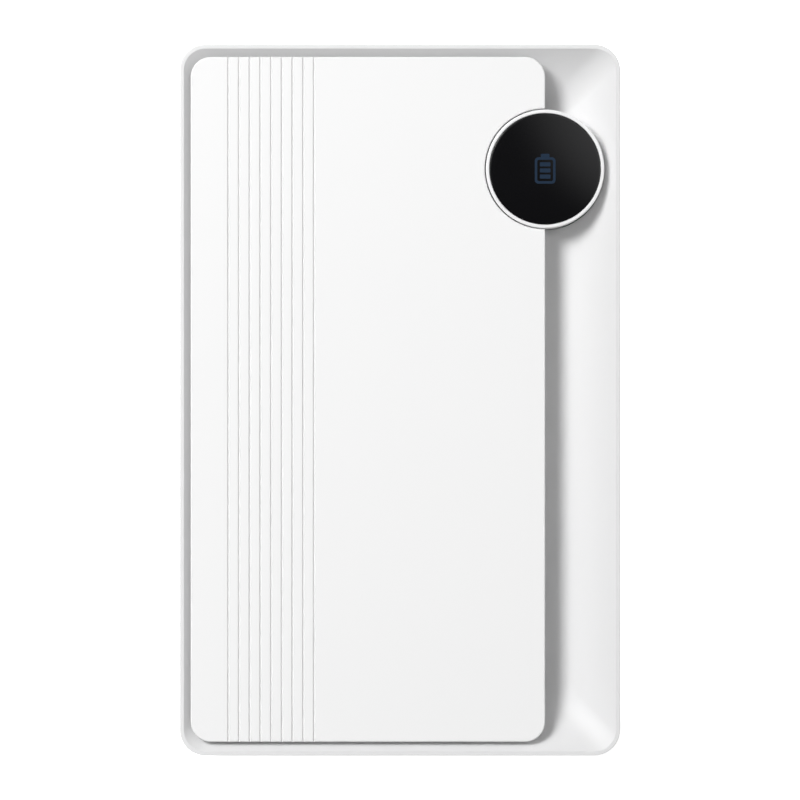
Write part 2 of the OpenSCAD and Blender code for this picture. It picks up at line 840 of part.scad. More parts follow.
module button_lens() {
    lens_r = ring_r - ring_w;
    bevel = 0.15;
    color("black") at_button() rotate_extrude() polygon([
        [0, film_z + film_t], [lens_r, film_z + film_t],
        [lens_r, lens_z - bevel], [lens_r - bevel, lens_z], [0, lens_z]
    ]);
}

module icon_film() {
    color("darkslategray") at_button() rod(ring_r - ring_w, film_z, film_z + film_t);
}

// Clear disc behind the film, with the stem that reaches down to the switch
module light_guide() {
    color("aliceblue") at_button() {
        rod(ring_r - ring_w - ledge_w, guide_z, film_z);
        rod(stem_r, stem_z, guide_z + e);
    }
}

back_shell();
front_housing();
front_panel();
panel_tape();
lower_cell();
upper_cell();
cell_tape();
bottom_foam_pad();
top_foam_pad();
cell_tabs();
protection_board();
battery_lead_red();
battery_lead_black();
thermistor();
main_board();
board_screws();
case_screws();
usb_c_shell();
usb_c_tongue();
usb_a_shell_left();
usb_a_tongue_left();
usb_a_shell_right();
usb_a_tongue_right();
power_inductor();
charger_chip();
controller_chip();
capacitors();
small_chips();
tact_switch_body();
switch_plunger();
display_carrier();
display_board();
display_leds();
display_pins();
button_spring();
button_ring();
button_lens();
icon_film();
light_guide();
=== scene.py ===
"""Studio scene of a pocket power bank: dished case, grooved cover panel, sockets and lit push button.

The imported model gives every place. Each sub-assembly below builds its detailed meshes in millimetres in
the same frame, dresses them, and lets them ride on their body.
"""

from __future__ import annotations

import logging
import math
from dataclasses import dataclass
from enum import Enum

import bmesh
import bpy
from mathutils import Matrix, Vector


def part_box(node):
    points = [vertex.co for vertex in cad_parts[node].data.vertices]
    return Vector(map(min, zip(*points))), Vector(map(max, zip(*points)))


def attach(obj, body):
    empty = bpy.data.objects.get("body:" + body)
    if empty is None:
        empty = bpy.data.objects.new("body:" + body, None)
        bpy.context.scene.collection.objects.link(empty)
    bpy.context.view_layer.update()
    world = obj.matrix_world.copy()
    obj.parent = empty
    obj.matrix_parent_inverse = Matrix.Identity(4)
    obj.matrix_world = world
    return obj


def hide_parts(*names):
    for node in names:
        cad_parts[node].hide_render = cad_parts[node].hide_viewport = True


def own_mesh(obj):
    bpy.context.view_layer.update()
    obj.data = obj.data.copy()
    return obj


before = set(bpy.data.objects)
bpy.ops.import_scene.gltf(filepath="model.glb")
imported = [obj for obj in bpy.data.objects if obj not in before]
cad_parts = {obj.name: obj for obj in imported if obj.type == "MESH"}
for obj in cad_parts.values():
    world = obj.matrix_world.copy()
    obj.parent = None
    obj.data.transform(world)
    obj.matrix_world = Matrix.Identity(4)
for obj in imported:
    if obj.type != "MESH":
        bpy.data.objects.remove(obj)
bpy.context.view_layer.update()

log = logging.getLogger("power_bank")
MM = 0.001
# Points of a mesh closer than this become one, in metres, and points of a profile, in millimetres.
MERGE = 1e-7
MERGE_MM = 1e-6
# How far a cutter reaches past the face that it opens, in millimetres.
PAST = 1.0
# A flat side gets one more outline this many edge radii from its corner, so that its shading stays flat.
HOLD = 1.5
CORNER_STEPS = 14
TURN_STEPS = 160
SHARP_ANGLE = math.radians(32)
WHITE = "#FFFFFF"

Colour = tuple[float, float, float, float]
Point = tuple[float, float]
Place = tuple[float, float, float]
Outline = list[Point]
Ring = list[Place]
Settings = dict[str | int, object]
Links = dict[str | int, bpy.types.NodeSocket]


class Body(Enum):
    """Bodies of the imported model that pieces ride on."""

    CASE = "case"
    BUTTON = "button"


class Grain(Enum):
    """How a mould's surface was made, as (grain size in mm, grain depth in mm)."""

    # Fine spark-eroded grain is under 0.1 mm; it is drawn a few times coarser so that it shows.
    SPARKED = (0.34, 0.0035)
    BLASTED = (0.22, 0.002)
    POLISHED = (1.6, 0.0004)
    FOAMED = (0.5, 0.12)


# ---------- Small tools ----------


def srgb(code: str) -> Colour:
    """Turns an sRGB hex colour to linear.

    Args:
        code: Six hex digits after a hash sign.

    Returns:
        Linear red, green and blue, with alpha 1.
    """
    parts = [int(code[i : i + 2], 16) / 255 for i in (1, 3, 5)]
    linear = [p / 12.92 if p <= 0.04045 else ((p + 0.055) / 1.055) ** 2.4 for p in parts]
    return (linear[0], linear[1], linear[2], 1.0)


def add_node(
    tree: bpy.types.NodeTree,
    kind: str,
    settings: Settings | None = None,
    links: Links | None = None,
) -> bpy.types.Node:
    """Adds a node, fills in its settings and links its inputs.

    Args:
        tree: The tree that gets the node.
        kind: The node's type.
        settings: Attributes of the node, or default values of its inputs by name or number.
        links: Output sockets to link, by the input's name or number.

    Returns:
        The new node.
    """
    node = tree.nodes.new(kind)
    for name, value in (settings or {}).items():
        if isinstance(name, str) and name not in node.inputs:
            setattr(node, name, value)
        else:
            node.inputs[name].default_value = value
    for name, source in (links or {}).items():
        tree.links.new(source, node.inputs[name])
    return node


def round_rect(width: float, length: float, radius: float, centre: Point = (0.0, 0.0)) -> Outline:
    """Points round a rectangle with round corners, anticlockwise.

    Args:
        width: Full size along the first axis.
        length: Full size along the second axis.
        radius: Corner radius.
        centre: Middle of the rectangle.

    Returns:
        The outline's points.
    """
    points: Outline = []
    for corner, (sx, sy) in enumerate(((1, 1), (-1, 1), (-1, -1), (1, -1))):
        mid_x = centre[0] + sx * (width / 2 - radius)
        mid_y = centre[1] + sy * (length / 2 - radius)
        for step in range(CORNER_STEPS + 1):
            angle = math.pi / 2 * (corner + step / CORNER_STEPS)
            points.append((mid_x + radius * math.cos(angle), mid_y + radius * math.sin(angle)))
    return points


def lying(outline: Outline, z: float) -> Ring:
    """An outline laid flat at height z."""
    return [(x, y, z) for x, y in outline]


def upright(outline: Outline, y: float) -> Ring:
    """An outline stood up across the port end, at depth y."""
    return [(x, y, z) for x, z in outline]


def link(name: str, data: bpy.types.ID) -> bpy.types.Object:
    """Makes an object and links it to the scene.

    Args:
        name: Name of the object.
        data: Its mesh, light or camera.

    Returns:
        The new object.
    """
    made = bpy.data.objects.new(name, data)
    bpy.context.scene.collection.objects.link(made)
    return made


def finish_mesh(name: str, points: Ring, faces: list[list[int]]) -> bpy.types.Object:
    """Makes an object from points in millimetres, with its faces turned outwards.

    Args:
        name: Name of the object and its mesh.
        points: Vertices in millimetres.
        faces: Vertex numbers of each face.

    Returns:
        The new object, at the origin, in metres.
    """
    mesh = bpy.data.meshes.new(name)
    mesh.from_pydata([Vector(p) * MM for p in points], [], faces)
    work = bmesh.new()
    work.from_mesh(mesh)
    bmesh.ops.remove_doubles(work, verts=work.verts, dist=MERGE)
    bmesh.ops.recalc_face_normals(work, faces=work.faces)
    work.to_mesh(mesh)
    work.free()
    return link(name, mesh)


def loft(name: str, rings: list[Ring], looped: bool = False) -> bpy.types.Object:
    """Closed skin through rings of equal point counts.

    Args:
        name: Name of the object.
        rings: The rings in order.
        looped: Joins the last ring to the first, in place of a cap at each end.

    Returns:
        The new object.
    """
    count = len(rings[0])
    spans = len(rings) if looped else len(rings) - 1
    faces: list[list[int]] = []
    for k in range(spans):
        low, high = k * count, (k + 1) % len(rings) * count
        for i in range(count):
            j = (i + 1) % count
            faces.append([low + i, low + j, high + j, high + i])
    if not looped:
        faces.append(list(range(count)))
        faces.append([(len(rings) - 1) * count + i for i in range(count)])
    return finish_mesh(name, [p for ring in rings for p in ring], faces)


def lathe(name: str, profile: Outline, centre: Point) -> bpy.types.Object:
    """Turns a profile of (radius, height) points round an upright axis.

    Args:
        name: Name of the object.
        profile: Points of a closed profile, or an open one whose ends lie on the axis.
        centre: Place of the axis.

    Returns:
        The new object.
    """
    on_axis = profile[0][0] == 0
    turned = profile[1:-1] if on_axis else profile
    x, y = centre
    angles = [2 * math.pi * i / TURN_STEPS for i in range(TURN_STEPS)]
    rings = [[(x + r * math.cos(a), y + r * math.sin(a), z) for a in angles] for r, z in turned]
    return loft(name, rings, looped=not on_axis)


def rod(name: str, radius: float, low: float, high: float, centre: Point) -> bpy.types.Object:
    """An upright rod between two heights, to cut a round hole with."""
    return lathe(name, [(0, low), (radius, low), (radius, high), (0, high)], centre)


def arc_steps(steps: int) -> list[Point]:
    """Sine and cosine pairs from 0 to 90 degrees in equal steps."""
    return [(math.sin(a), math.cos(a)) for a in (math.pi / 2 * i / steps for i in range(steps + 1))]


def tidy_profile(profile: Outline) -> Outline:
    """Leaves out the points of a profile that fall on the one before.

    Args:
        profile: Points in order.

    Returns:
        The points that stay.
    """
    kept = [profile[0]]
    for point in profile[1:]:
        if math.dist(point, kept[-1]) > MERGE_MM:
            kept.append(point)
    return kept


def settle(piece: bpy.types.Object) -> None:
    """Turns modifiers into plain mesh and removes them.

    Args:
        piece: The piece that has them.
    """
    graph = bpy.context.evaluated_depsgraph_get()
    shown = piece.evaluated_get(graph)
    mesh = bpy.data.meshes.new_from_object(shown, preserve_all_data_layers=True, depsgraph=graph)
    piece.modifiers.clear()
    old = piece.data
    piece.data = mesh
    bpy.data.meshes.remove(old)
    mesh.name = piece.name


def combine(piece: bpy.types.Object, tool: bpy.types.Object, operation: str) -> None:
    """Cuts a tool out of a piece, or joins it on, and removes the tool.

    Args:
        piece: The piece that stays.
        tool: The cutter, or the part to add.
        operation: DIFFERENCE or UNION.
    """
    change = piece.modifiers.new("combine", "BOOLEAN")
    change.operation = operation
    change.solver = "EXACT"
    change.object = tool
    settle(piece)
    bpy.data.objects.remove(tool)


def smooth(piece: bpy.types.Object) -> None:
    """Shades a piece smooth, except over its real edges.

    Args:
        piece: The finished piece.
    """
    for face in piece.data.polygons:
        face.use_smooth = True
    piece.data.set_sharp_from_angle(angle=SHARP_ANGLE)


# ---------- Finishes ----------


class MaterialTree:
    """A material's nodes: they start from the piece's own coordinates and end in one Principled shader."""

    def __init__(self, name: str) -> None:
        """Opens a material.

        Args:
            name: Name of the material.
        """
        self.made = bpy.data.materials.new(name)
        self.made.use_nodes = True
        self.tree = self.made.node_tree
        self.tree.nodes.clear()
        self.place = self.add("ShaderNodeTexCoord").outputs["Object"]

    def add(
        self, kind: str, settings: Settings | None = None, links: Links | None = None
    ) -> bpy.types.Node:
        """Adds a node to the tree, as add_node does."""
        return add_node(self.tree, kind, settings, links)

    def close(
        self,
        colours: tuple[str, str],
        share: bpy.types.NodeSocket,
        height: bpy.types.NodeSocket,
        depth_mm: float,
        settings: Settings,
        links: Links | None = None,
    ) -> bpy.types.Material:
        """Ends the tree in a tint, a bump and the shader.

        Args:
            colours: The two colours that the tint runs between, as sRGB hex.
            share: How much of the second colour shows.
            height: Height of the relief, from 0 to 1.
            depth_mm: What a height of 1 stands for.
            settings: The shader's even values.
            links: The shader's other linked inputs.

        Returns:
            The finished material.
        """
        first, second = (srgb(colour) for colour in colours)
        tint = self.add("ShaderNodeMix", {"data_type": "RGBA", 6: first, 7: second}, {0: share})
        relief = {"Strength": 1.0, "Distance": depth_mm * MM}
        bump = self.add("ShaderNodeBump", relief, {"Height": height})
        given = {"Base Color": tint.outputs[2], "Normal": bump.outputs["Normal"], **(links or {})}
        shader = self.add("ShaderNodeBsdfPrincipled", settings, given)
        self.add("ShaderNodeOutputMaterial", links={"Surface": shader.outputs["BSDF"]})
        return self.made


@dataclass(frozen=True)
class Plastic:
    """Injection-moulded plastic: an even colour, soft patches of gloss, and the mould's grain as bump."""

    name: str
    colour: str
    patch_colour: str
    roughness: float
    roughness_spread: float
    grain: Grain
    ior: float = 1.53
    clear: float = 0.0
    patch_mm: float = 22.0
    patch_range: tuple[float, float] = (0.3, 0.7)

    def material(self) -> bpy.types.Material:
        """Builds the material."""
        tree = MaterialTree(self.name)
        patch_size = {"Scale": 1 / (self.patch_mm * MM), "Detail": 3.0}
        patches = tree.add("ShaderNodeTexNoise", patch_size, {"Vector": tree.place}).outputs["Fac"]
        gloss = tree.add(
            "ShaderNodeMapRange",
            {
                "From Min": self.patch_range[0],
                "From Max": self.patch_range[1],
                "To Min": self.roughness - self.roughness_spread,
                "To Max": self.roughness + self.roughness_spread,
            },
            {"Value": patches},
        )
        size, depth = self.grain.value
        grain_size = {"Scale": 1 / (size * MM), "Detail": 2.0}
        grain = tree.add("ShaderNodeTexNoise", grain_size, {"Vector": tree.place}).outputs["Fac"]
        return tree.close(
            (self.colour, self.patch_colour),
            patches,
            grain,
            depth,
            {"IOR": self.ior, "Transmission Weight": self.clear},
            {"Roughness": gloss.outputs["Result"]},
        )


@dataclass(frozen=True)
class Metal:
    """Rolled, drawn or plated metal: fine lines along one axis vary its gloss and stand as bump."""

    name: str
    colour: str
    stain_colour: str
    roughness: float
    line_mm: float
    stretch: Place = (1.0, 0.04, 1.0)
    line_depth_mm: float = 0.002
    stain_mm: float = 4.0
    gloss_spread: float = 0.25

    def material(self) -> bpy.types.Material:
        """Builds the material."""
        tree = MaterialTree(self.name)
        along = tree.add("ShaderNodeMapping", {"Scale": self.stretch}, {"Vector": tree.place}).outputs[0]
        line_size = {"Scale": 1 / (self.line_mm * MM), "Detail": 4.0}
        lines = tree.add("ShaderNodeTexNoise", line_size, {"Vector": along}).outputs["Fac"]
        stain_size = {"Scale": 1 / (self.stain_mm * MM), "Detail": 2.0}
        stains = tree.add("ShaderNodeTexNoise", stain_size, {"Vector": tree.place}).outputs["Fac"]
        gloss_range = {
            "To Min": self.roughness * (1 - self.gloss_spread),
            "To Max": self.roughness * (1 + self.gloss_spread),
        }
        gloss = tree.add("ShaderNodeMapRange", gloss_range, {"Value": lines})
        return tree.close(
            (self.colour, self.stain_colour),
            stains,
            lines,
            self.line_depth_mm,
            {"Metallic": 1.0},
            {"Roughness": gloss.outputs["Result"]},
        )


@dataclass(frozen=True)
class CircuitBoard:
    """Glass-fibre board under green solder mask, which copper tracks lift and show through lighter."""

    name: str = "circuit_board_green_mask"
    mask: str = "#0E4A26"
    over_copper: str = "#2B7A45"
    roughness: float = 0.28
    ior: float = 1.55
    track_mm: float = 1.3
    track_wander: float = 0.35
    track_width: float = 0.12
    track_edge: float = 0.04
    copper_mm: float = 0.03

    def material(self) -> bpy.types.Material:
        """Builds the material."""
        tree = MaterialTree(self.name)
        cells = tree.add(
            "ShaderNodeTexVoronoi",
            {
                "feature": "DISTANCE_TO_EDGE",
                "Scale": 1 / (self.track_mm * MM),
                "Randomness": self.track_wander,
            },
            {"Vector": tree.place},
        )
        track = tree.add(
            "ShaderNodeMapRange",
            {
                "From Min": self.track_width,
                "From Max": self.track_width + self.track_edge,
                "To Min": 1.0,
                "To Max": 0.0,
            },
            {"Value": cells.outputs["Distance"]},
        ).outputs["Result"]
        return tree.close(
            (self.mask, self.over_copper),
            track,
            track,
            self.copper_mm,
            {"Roughness": self.roughness, "IOR": self.ior},
        )


Finish = Plastic | Metal | CircuitBoard

# White ABS from a spark-eroded mould: satin, with the faintest speckle in raking light. Its colour is a
# painted shade: it is set darker than the panel's white of the same ABS so that the dish's banks and the
# gaps round the panel come out darker.
CASE_ABS = Plastic("white_abs_sparked", "#DADADA", "#D8D8D9", 0.55, 0.05, Grain.SPARKED)
# The cover panel is moulded in the same ABS over a finer blasted steel, so it is a touch smoother. It is
# lighter than the case because its colour carries no painted shade.
PANEL_ABS = Plastic("white_abs_blasted", "#E7E7E7", "#E5E5E5", 0.46, 0.05, Grain.BLASTED)
# The button ring comes from a polished mould, so it shines more than the case.
RING_ABS = Plastic("white_abs_polished", "#EAEAEA", "#E8E8E9", 0.24, 0.03, Grain.POLISHED)
# Piano-black polycarbonate: deep black under a mirror-smooth face.
LENS_PC = Plastic("black_polycarbonate_polished", "#08080A", "#0A0A0C", 0.10, 0.02, Grain.POLISHED, 1.58)
# Translucent slate ink of the icon, which shows dimly while the lamps behind it are off.
ICON_INK = Plastic("slate_ink_printed", "#1E2C3E", "#203042", 0.12, 0.02, Grain.POLISHED, 1.5)
# Socket and switch nylon: near black and dull, a touch uneven.
SOCKET_NYLON = Plastic("black_nylon_moulded", "#151516", "#1B1B1C", 0.48, 0.06, Grain.BLASTED)
# Moulded epoxy of chips and the inductor: dark grey and matt.
EPOXY = Plastic("black_epoxy_moulded", "#1D1D1E", "#262627", 0.55, 0.08, Grain.SPARKED)
# Warm white ABS that throws the lamps' light up, and the frosted guide that spreads it under dark film.
CARRIER_ABS = Plastic("white_reflector_abs", "#E4E3DE", "#DEDDD6", 0.4, 0.05, Grain.BLASTED)
CLEAR_PC = Plastic(
    "clear_polycarbonate_frosted", "#E9EEF0", "#E2E8EB", 0.32, 0.05, Grain.BLASTED, 1.58, clear=0.8
)
FILM_PET = Plastic("black_printed_film", "#10141A", "#141920", 0.3, 0.04, Grain.POLISHED, 1.57)
# Lamps' yellow resin, the small chips' tan ceramic and the thermistor's brown bead.
PHOSPHOR = Plastic("yellow_phosphor_resin", "#E6D67C", "#DCCB6C", 0.3, 0.05, Grain.POLISHED)
CERAMIC = Plastic("tan_fired_ceramic", "#B39A72", "#A0875F", 0.5, 0.08, Grain.SPARKED)
BEAD_RESIN = Plastic("brown_dipped_resin", "#6B4023", "#5B351C", 0.35, 0.05, Grain.POLISHED)
# Soft parts: open foam with visible cells, glossy amber tape, dull grey tape and rubbery lead covers.
FOAM = Plastic("charcoal_open_cell_foam", "#3A3A3B", "#2D2D2E", 0.9, 0.05, Grain.FOAMED)
POLYIMIDE = Plastic("amber_polyimide_tape", "#B5801E", "#A87315", 0.26, 0.04, Grain.POLISHED, 1.6)
ACRYLIC_TAPE = Plastic("grey_acrylic_tape", "#8C8C8E", "#828284", 0.6, 0.06, Grain.BLASTED)
RED_SILICONE = Plastic("red_silicone_extruded", "#B3231E", "#A61F1B", 0.42, 0.05, Grain.BLASTED, 1.43)
BLACK_SILICONE = Plastic("black_silicone_extruded", "#1A1A1B", "#202021", 0.42, 0.05, Grain.BLASTED, 1.43)
# Deep-drawn aluminium laminate of a pouch cell: soft rolling lines along the web.
POUCH_FOIL = Metal("aluminium_laminate_rolled", "#C9CBCF", "#BDBFC4", 0.34, 0.5)
# Bright plated steel, warm for nickel and cold for zinc, with lines from rolling, turning or drawing.
NICKEL = Metal("nickel_plated_steel_stamped", "#C8C5BE", "#BCB8B0", 0.26, 0.18, (1.0, 1.0, 0.05))
ZINC = Metal("zinc_plated_steel", "#BFC0C2", "#B0B1B5", 0.32, 0.2, (1.0, 1.0, 0.2))
SPRING_WIRE = Metal("drawn_spring_wire", "#A9AAAC", "#9A9B9E", 0.3, 0.15, (0.2, 0.2, 1.0))
# Capacitors' drawn aluminium cans, and the thin gold on contacts.
DRAWN_CAN = Metal("drawn_aluminium_can", "#CBCCCE", "#C0C1C4", 0.3, 0.3, (1.0, 1.0, 0.05))
GOLD = Metal("gold_plated_contact", "#E6C067", "#DDB45A", 0.22, 0.12)
BOARD = CircuitBoard()

CARRIED_FINISHES: dict[str, Finish] = {
    "panel_tape": ACRYLIC_TAPE,
    "lower_cell": POUCH_FOIL,
    "upper_cell": POUCH_FOIL,
    "cell_tape": POLYIMIDE,
    "bottom_foam_pad": FOAM,
    "top_foam_pad": FOAM,
    "cell_tabs": NICKEL,
    "protection_board": BOARD,
    "battery_lead_red": RED_SILICONE,
    "battery_lead_black": BLACK_SILICONE,
    "thermistor": BEAD_RESIN,
    "main_board": BOARD,
    "board_screws": ZINC,
    "case_screws": ZINC,
    "power_inductor": EPOXY,
    "charger_chip": EPOXY,
    "controller_chip": EPOXY,
    "capacitors": DRAWN_CAN,
    "small_chips": CERAMIC,
    "tact_switch_body": SOCKET_NYLON,
    "switch_plunger": SOCKET_NYLON,
    "display_carrier": CARRIER_ABS,
    "display_board": BOARD,
    "display_leds": PHOSPHOR,
    "display_pins": GOLD,
    "icon_film": FILM_PET,
    "light_guide": CLEAR_PC,
}


class Workshop:
    """Makes each finish's material once, and dresses and places pieces."""

    def __init__(self) -> None:
        """Starts with no material made."""
        self.made: dict[str, bpy.types.Material] = {}

    def material(self, finish: Finish) -> bpy.types.Material:
        """Makes a finish's material on first use.

        Args:
            finish: The finish.

        Returns:
            Its one material.
        """
        if finish.name not in self.made:
            self.made[finish.name] = finish.material()
        return self.made[finish.name]

    def place(
        self,
        piece: bpy.types.Object,
        finish: Finish,
        body: Body,
        slot: str,
        replaces: tuple[str, ...] = (),
    ) -> None:
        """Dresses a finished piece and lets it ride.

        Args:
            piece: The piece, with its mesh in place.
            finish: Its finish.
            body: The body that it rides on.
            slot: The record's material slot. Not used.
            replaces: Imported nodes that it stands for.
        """
        smooth(piece)
        piece.data.materials.clear()
        piece.data.materials.append(self.material(finish))
        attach(piece, body.value)
        if replaces:
            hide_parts(*replaces)
        log.info("%s: %d faces, rides on %s", piece.name, len(piece.data.polygons), body.value)

    def dress_carried(self) -> None:
        """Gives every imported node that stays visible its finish."""
        for name, finish in CARRIED_FINISHES.items():
            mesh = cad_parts[name].data
            mesh.materials.clear()
            mesh.materials.append(self.material(finish))
            log.info("%s: packed node, %s", name, finish.name)


# ---------- Geometry Nodes ----------


class NodeMesh:
    """A Geometry Nodes tree with named inputs, run once on a piece and turned to plain mesh."""

    def __init__(self, name: str, inputs: dict[str, str]) -> None:
        """Opens the tree.

        Args:
            name: Name of the tree.
            inputs: Kind of each input by its name. They stand between the geometry and the material.
        """
        self.tree = bpy.data.node_groups.new(name, "GeometryNodeTree")
        sockets = self.tree.interface
        sockets.new_socket("Geometry", in_out="OUTPUT", socket_type="NodeSocketGeometry")
        for label, kind in {"Geometry": "Geometry", **inputs, "Material": "Material"}.items():
            sockets.new_socket(label, in_out="INPUT", socket_type="NodeSocket" + kind)
        self.given = add_node(self.tree, "NodeGroupInput").outputs

    def add(
        self, kind: str, settings: Settings | None = None, links: Links | None = None
    ) -> bpy.types.Node:
        """Adds a node to the tree, as add_node does."""
        return add_node(self.tree, kind, settings, links)

    def close(self, geometry: bpy.types.NodeSocket) -> None:
        """Ends the tree in Realize Instances and Set Material.

        Args:
            geometry: The socket that gives the result.
        """
        real = self.add("GeometryNodeRealizeInstances", links={"Geometry": geometry})
        dressed = self.add(
            "GeometryNodeSetMaterial",
            links={"Geometry": real.outputs["Geometry"], "Material": self.given["Material"]},
        )
        self.add("NodeGroupOutput", links={0: dressed.outputs["Geometry"]})

    def run(self, piece: bpy.types.Object, values: dict[str, object]) -> None:
        """Runs the tree on a piece.

        Args:
            piece: The piece that takes the result as its mesh.
            values: A value for each named input.
        """
        sockets = {
            item.name: item.identifier
            for item in self.tree.interface.items_tree
            if item.item_type == "SOCKET" and item.in_out == "INPUT"
        }
        modifier = piece.modifiers.new(self.tree.name, "NODES")
        modifier.node_group = self.tree
        for name, value in values.items():
            modifier[sockets[name]] = value
        settle(piece)


# A groove's cutter: its width as a share of the groove's, its points across, and how far its upper edges
# stand above the face, in millimetres.
BAR_SHARE = 1.04
BAR_POINTS = 13
BAR_LIFT = 0.0005
PAD_CORNER_POINTS = 4
COIL_POINTS = 48
WIRE_POINTS = 14


def groove_tree() -> NodeMesh:
    """Tree that cuts a row of V-shaped grooves, along Y, into the geometry it is given."""
    inputs = dict.fromkeys(("Pitch", "Width", "Depth", "Length"), "Float")
    tree = NodeMesh("grooves", {"Count": "Int", **inputs, "Start": "Vector"})
    given = tree.given
    # Each cutter is a bar a little wider than its groove, with its underside pressed down to a V.
    wider = tree.add("ShaderNodeMath", {"operation": "MULTIPLY", 1: BAR_SHARE}, {0: given["Width"]})
    bar_size = {"X": wider.outputs[0], "Y": given["Length"], "Z": given["Width"]}
    size = tree.add("ShaderNodeCombineXYZ", links=bar_size)
    bar = tree.add("GeometryNodeMeshCube", {"Vertices X": BAR_POINTS}, {"Size": size.outputs[0]})
    position = tree.add("GeometryNodeInputPosition").outputs[0]
    place = tree.add("ShaderNodeSeparateXYZ", links={0: position}).outputs
    across = tree.add("ShaderNodeMath", {"operation": "ABSOLUTE"}, {0: place["X"]})
    half = tree.add("ShaderNodeMath", {"operation": "MULTIPLY", 1: 0.5}, {0: given["Width"]})
    inward = tree.add(
        "ShaderNodeMapRange",
        {"From Min": 0.0, "To Min": 1.0, "To Max": 0.0},
        {"Value": across.outputs[0], "From Max": half.outputs[0]},
    ).outputs["Result"]
    deep = tree.add("ShaderNodeMath", {"operation": "MULTIPLY"}, {0: inward, 1: given["Depth"]})
    sunk = tree.add("ShaderNodeMath", {"operation": "SUBTRACT", 0: BAR_LIFT * MM}, {1: deep.outputs[0]})
    under = tree.add("FunctionNodeCompare", {"operation": "LESS_THAN", "B": 0.0}, {"A": place["Z"]})
    spot = tree.add("ShaderNodeCombineXYZ", links={"X": place["X"], "Y": place["Y"], "Z": sunk.outputs[0]})
    pressed = tree.add(
        "GeometryNodeSetPosition",
        links={"Geometry": bar.outputs["Mesh"], "Selection": under.outputs[0], "Position": spot.outputs[0]},
    )
    step = tree.add("ShaderNodeCombineXYZ", links={"X": given["Pitch"]})
    row = {"Count": given["Count"], "Start Location": given["Start"], "Offset": step.outputs[0]}
    points = tree.add("GeometryNodeMeshLine", links=row).outputs[0]
    copies = {"Points": points, "Instance": pressed.outputs[0]}
    bars = tree.add("GeometryNodeInstanceOnPoints", links=copies)
    solid_bars = tree.add("GeometryNodeRealizeInstances", links={"Geometry": bars.outputs[0]})
    cut = tree.add(
        "GeometryNodeMeshBoolean",
        {"operation": "DIFFERENCE", "solver": "EXACT"},
        {"Mesh 1": given["Geometry"], "Mesh 2": solid_bars.outputs[0]},
    )
    tree.close(cut.outputs["Mesh"])
    return tree


def pad_row_tree() -> NodeMesh:
    """Tree that makes a row of equal pads with round corners, such as contacts or level bars."""
    inputs = dict.fromkeys(("Width", "Length", "Thickness", "Corner"), "Float")
    tree = NodeMesh("pad_row", {"Count": "Int", **inputs, "Start": "Vector", "Step": "Vector"})
    given = tree.given
    plan = {"Width": given["Width"], "Height": given["Length"]}
    outline = tree.add("GeometryNodeCurvePrimitiveQuadrilateral", links=plan)
    rounded = tree.add(
        "GeometryNodeFilletCurve",
        {"mode": "POLY", "Count": PAD_CORNER_POINTS},
        {"Curve": outline.outputs[0], "Radius": given["Corner"]},
    )
    face = tree.add("GeometryNodeFillCurve", {"mode": "NGONS"}, {"Curve": rounded.outputs[0]})
    raised = tree.add(
        "GeometryNodeExtrudeMesh",
        {"Individual": False},
        {"Mesh": face.outputs[0], "Offset Scale": given["Thickness"]},
    )
    base = tree.add("GeometryNodeFlipFaces", links={"Mesh": face.outputs[0]})
    skin = tree.add("GeometryNodeJoinGeometry", links={0: base.outputs[0]})
    tree.tree.links.new(raised.outputs["Mesh"], skin.inputs[0])
    pad = tree.add("GeometryNodeMergeByDistance", {"Distance": MERGE}, {"Geometry": skin.outputs[0]})
    row = {"Count": given["Count"], "Start Location": given["Start"], "Offset": given["Step"]}
    points = tree.add("GeometryNodeMeshLine", links=row).outputs[0]
    pads = tree.add("GeometryNodeInstanceOnPoints", links={"Points": points, "Instance": pad.outputs[0]})
    tree.close(pads.outputs[0])
    return tree


def coil_tree() -> NodeMesh:
    """Tree that sweeps a round wire along an upright helix whose end turns lie flat."""
    inputs = dict.fromkeys(("Turns", "Flat End", "Radius", "Height", "Wire Radius"), "Float")
    tree = NodeMesh("coil", {**inputs, "Foot": "Vector"})
    given = tree.given
    path = tree.add(
        "GeometryNodeCurveSpiral",
        {"Resolution": COIL_POINTS},
        {"Rotations": given["Turns"], "Start Radius": given["Radius"], "End Radius": given["Radius"]},
    )
    along = tree.add("GeometryNodeSplineParameter").outputs["Factor"]
    last = tree.add("ShaderNodeMath", {"operation": "SUBTRACT", 0: 1.0}, {1: given["Flat End"]})
    rise = tree.add(
        "ShaderNodeMapRange",
        {"To Min": 0.0},
        {
            "Value": along,
            "From Min": given["Flat End"],
            "From Max": last.outputs[0],
            "To Max": given["Height"],
        },
    ).outputs["Result"]
    position = tree.add("GeometryNodeInputPosition").outputs[0]
    place = tree.add("ShaderNodeSeparateXYZ", links={0: position}).outputs
    spot = tree.add("ShaderNodeCombineXYZ", links={"X": place["X"], "Y": place["Y"], "Z": rise}).outputs[0]
    helix = tree.add("GeometryNodeSetPosition", links={"Geometry": path.outputs[0], "Position": spot})
    profile = tree.add(
        "GeometryNodeCurvePrimitiveCircle",
        {"mode": "RADIUS", "Resolution": WIRE_POINTS},
        {"Radius": given["Wire Radius"]},
    )
    sweep = {"Curve": helix.outputs[0], "Profile Curve": profile.outputs[0]}
    wire = tree.add("GeometryNodeCurveToMesh", {"Fill Caps": True}, sweep)
    move = {"Geometry": wire.outputs[0], "Translation": given["Foot"]}
    placed = tree.add("GeometryNodeTransform", links=move)
    tree.close(placed.outputs[0])
    return tree


